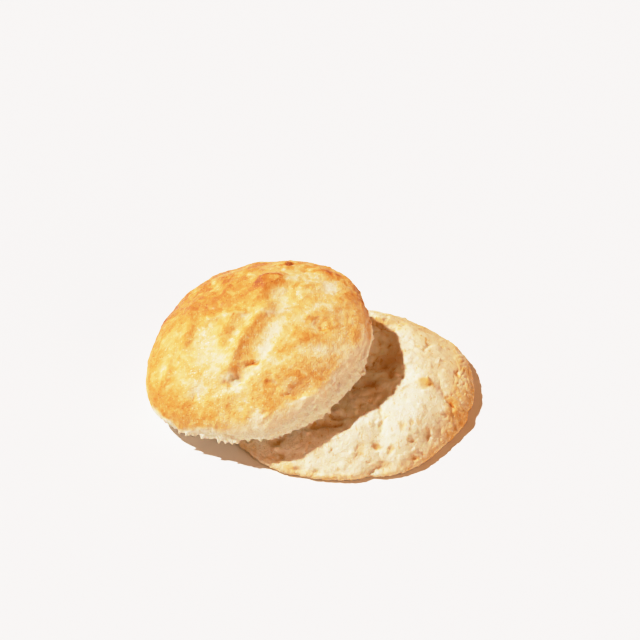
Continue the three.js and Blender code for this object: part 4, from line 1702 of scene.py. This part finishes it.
    def add_flakes(self, surface: Surface) -> None:
        """Grows flakes on the underside, teeth along the torn edge and layers on one side.

        Args:
            surface: The half, which gets the flakes joined on.
        """
        places, normals = surface.points, surface.normals
        own, axes = self.own(places), self.turned()
        pick = np.random.default_rng(self.pick_seed).random(len(places))
        radius, angles = polar(own)
        height = own[:, 2]
        under = (height < self.under_height) & (radius < self.rim - self.under_margin)
        edge = np.abs(height - self.tooth_height) < self.tooth_reach
        edge &= radius > self.rim - self.tooth_margin
        side = (height > self.side_height[0]) & (height < self.side_height[1]) & (radius > self.shoulder)
        outward = own / np.maximum(radius, 1e-6)[:, None] * (1.0, 1.0, 0.0)
        down = (self.tooth_outward * outward + (0.0, 0.0, -self.tooth_down)) @ axes.T
        around = np.stack([-outward[:, 1], outward[:, 0], outward[:, 2]], axis=1) @ axes.T
        layered = np.exp(-(((angles - self.layered_angle) / self.layered_reach) ** 2))
        beds = under & (pick < self.flake_share)
        teeth = edge & (pick < self.tooth_share * self.toothed.at(angles))
        sheets = side & (pick < self.layer_share * layered)
        surface.join(self.flakes.made(places[beds], normals[beds]))
        surface.join(self.teeth.made(places[teeth], normals[teeth], down[teeth]))
        surface.join(self.layers.made(places[sheets], normals[sheets], around[sheets]))

    def fine_relief(self, surface: Surface) -> Array:
        """Gives the bubbled skin of the crust and the fine crumb of its torn parts.

        Args:
            surface: The torn half.

        Returns:
            One height for each point.
        """
        own = self.own(surface.points)
        heights = self.on_both(self.crust_share(own), own, self.fine_crust, self.fine_crumb)
        return heights - self.bubble_rise

    def brown(self, surface: Surface) -> None:
        """Stores where the crust is, how brown and buttery it is, and which points lie deep, for painted
        shade in hollows.

        Args:
            surface: The finished half.
        """
        own = self.own(surface.points)
        crust, top = self.crust_share(own), eased(own[:, 2], *self.browning_top)
        bake_and_shade, toast = self.baked(surface, own, top), self.crumb_ground + self.crumb_browning.at(own)
        back_left = eased(own[:, 1] - 0.5 * own[:, 0], *self.buttery)
        butter = self.butter + self.butter_back * back_left + self.butter_patches.at(own)
        # painted shade in hollows, less in the torn hole
        hollow_shade = self.hollows * surface.sunk(SMALL_HOLLOWS) + self.wide_hollows * surface.sunk(WIDE_HOLLOWS)
        hollow_shade *= 1 - self.hole_paling * top * self.tear_hole.at(own)
        surface.store(Mask.CRUST, crust)
        surface.store(Mask.BAKE, crust * bake_and_shade + (1 - crust) * toast)
        surface.store(Mask.HOLLOW_SHADE, self.crumb_hollow_shade * (1 - crust) + hollow_shade)
        surface.store(Mask.BUTTER, crust * butter + self.crumb_butter)

    def baked(self, surface: Surface, own: Array, top: Array) -> Array:
        """Gives how brown the crust is, with painted shade along cracks, painted light on the right side and
        painted shade on the upper left.

        Args:
            surface: The half.
            own: Its points in its own frame.
            top: How far each point is on the top.

        Returns:
            The browning, from 0 for pale to 1 for dark.
        """
        wavy = self.browning_wander.moved(self.coarse_wander.moved(own))
        radius, angles = polar(own)
        foot = self.foot_of_crust.at(angles)
        bake_and_shade = self.crust_ground + self.rim_browning.at(angles) * eased(self.rim - radius, *self.rim_span)
        bake_and_shade += top * self.browned_strength * total_of(self.browning_and_shade, wavy)
        bake_and_shade += top * self.pale_strength * total_of(self.pale, wavy)
        by_crumb = eased(foot, *self.foot_span) * eased(self.climb(own), foot + self.foot_reach, foot)
        bake_and_shade -= self.foot_paling * by_crumb
        # painted light: paler on the right, where less key light falls
        bake_and_shade -= self.right_painted_light * eased(own[:, 0], *self.right_span)
        lively = self.lively[0] + self.lively[1] * eased(own[:, 1], *self.lively_span)
        bake_and_shade += lively * self.golden_patches.at(wavy)
        bake_and_shade -= (self.pale_ground[0] + self.pale_ground[1] * lively) * self.pale_patches.at(wavy)
        bake_and_shade += total_of(self.crust_browning, own)
        # painted shade along the cracks
        bake_and_shade += top * self.crack_painted_shade * np.clip(-total_of(self.cracks, wavy), 0, 1)
        sunk = np.clip(surface.sunk(self.hollow_rounds), -self.hollow_limit, self.hollow_limit)
        bake_and_shade -= self.hollow_paling * sunk
        held = self.brownest + self.over_brown * (bake_and_shade - self.brownest)
        return np.minimum(bake_and_shade, held) + top * total_of(self.scorched, wavy)


# ---------------------------------------------------------------- the studio

TONE_CURVE = ((0.0, 0.0), (0.25, 0.265), (0.6, 0.685), (0.85, 0.855), (1.1, 0.93), (1.4, 0.975), (2.0, 1.0))


@dataclass(frozen=True)
class FarLight:
    """A light so far away that all its light goes one way."""

    name: str
    travel: Triple  # which way its light goes
    strength: float
    angle: float  # how wide it looks from the biscuit
    colour: Triple

    def hang(self) -> None:
        """Adds the light to the scene."""
        sun = bpy.data.lights.new(self.name, "SUN")
        sun.energy = self.strength
        sun.angle = math.radians(self.angle)
        sun.color = self.colour
        lamp = bpy.data.objects.new(self.name, sun)
        lamp.rotation_euler = Vector(self.travel).to_track_quat("-Z", "Y").to_euler()
        bpy.context.scene.collection.objects.link(lamp)


@dataclass
class Studio:
    """A pale floor, a small bright light from the left, a soft warm one, a fill and the camera."""

    floor_radius: float = 12.0  # metres
    floor_corners: int = 64
    floor_roughness: float = 0.9
    floor_colour: Quad = paint(246, 246, 246)
    lights: tuple[FarLight, ...] = (
        FarLight("key", (0.82, -0.26, -1.0), 4.3, 2.6, (0.82, 0.92, 0.98)),
        FarLight("bounce", (-0.72, 0.62, -0.2), 0.9, 40.0, (1.0, 0.84, 0.66)),  # low, from the right
    )
    fill_colour: Quad = (0.325, 0.135, 0.04, 1.0)  # comes from all round
    camera_place: Triple = (-9.507, -462.778, 422.331)
    camera_tip: float = 50.0  # how far the camera is tipped up from straight down
    lens: float = 100.0
    sensor: float = 36.0
    seen_depth: Pair = (0.01, 100.0)  # nearest and farthest that the camera sees, in metres

    def build(self) -> None:
        """Sets up the floor, the lights, the camera and the tones of the picture."""
        self.lay_floor()
        self.hang_lights()
        self.set_camera()
        self.set_tones()

    @staticmethod
    def set_tones() -> None:
        """Bends the tones of the picture by the tone curve."""
        view = bpy.context.scene.view_settings
        view.view_transform = "Standard"
        view.look = "None"
        view.use_curve_mapping = True
        curve = view.curve_mapping
        curve.clip_max_x = TONE_CURVE[-1][0]
        line = curve.curves[3]  # the one for all three colours
        line.points[0].location = TONE_CURVE[0]
        line.points[1].location = TONE_CURVE[-1]
        for place in TONE_CURVE[1:-1]:
            line.points.new(*place)
        curve.update()

    def lay_floor(self) -> None:
        """Lays a pale round floor under the biscuit."""
        disc = bmesh.new()
        bmesh.ops.create_circle(disc, cap_ends=True, segments=self.floor_corners, radius=self.floor_radius)
        mesh = bpy.data.meshes.new("floor")
        disc.to_mesh(mesh)
        disc.free()
        material = bpy.data.materials.new("pale_floor")
        material.use_nodes = True
        shader = material.node_tree.nodes["Principled BSDF"]
        shader.inputs["Base Color"].default_value = self.floor_colour
        shader.inputs["Roughness"].default_value = self.floor_roughness
        mesh.materials.append(material)
        floor = bpy.data.objects.new("floor", mesh)
        bpy.context.scene.collection.objects.link(floor)

    def hang_lights(self) -> None:
        """Adds the key light, the warm bounce and the fill."""
        for light in self.lights:
            light.hang()
        world = bpy.data.worlds.new("fill")
        world.use_nodes = True
        sky = world.node_tree.nodes["Background"]
        sky.inputs["Color"].default_value = self.fill_colour
        sky.inputs["Strength"].default_value = 1.0
        bpy.context.scene.world = world

    def set_camera(self) -> None:
        """Places the camera where the photograph was taken from."""
        seen = bpy.data.cameras.new("camera")
        seen.lens = self.lens
        seen.sensor_width = self.sensor
        seen.clip_start, seen.clip_end = self.seen_depth
        camera = bpy.data.objects.new("camera", seen)
        camera.location = Vector(self.camera_place) * MM
        camera.rotation_euler = (math.radians(self.camera_tip), 0.0, 0.0)
        bpy.context.scene.collection.objects.link(camera)
        bpy.context.scene.camera = camera


# ---------------------------------------------------------------- main


def main() -> None:
    """Sets up the studio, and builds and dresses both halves."""
    logging.basicConfig(level=logging.INFO, format="%(message)s")
    Studio().build()
    effects = Effects()
    for half in (LowerHalf(), UpperHalf()):
        piece = half.build()
        half.dress(piece, effects)
        LOG.info("%s has %d points", piece.name, len(piece.data.vertices))


if __name__ == "__main__":
    main()
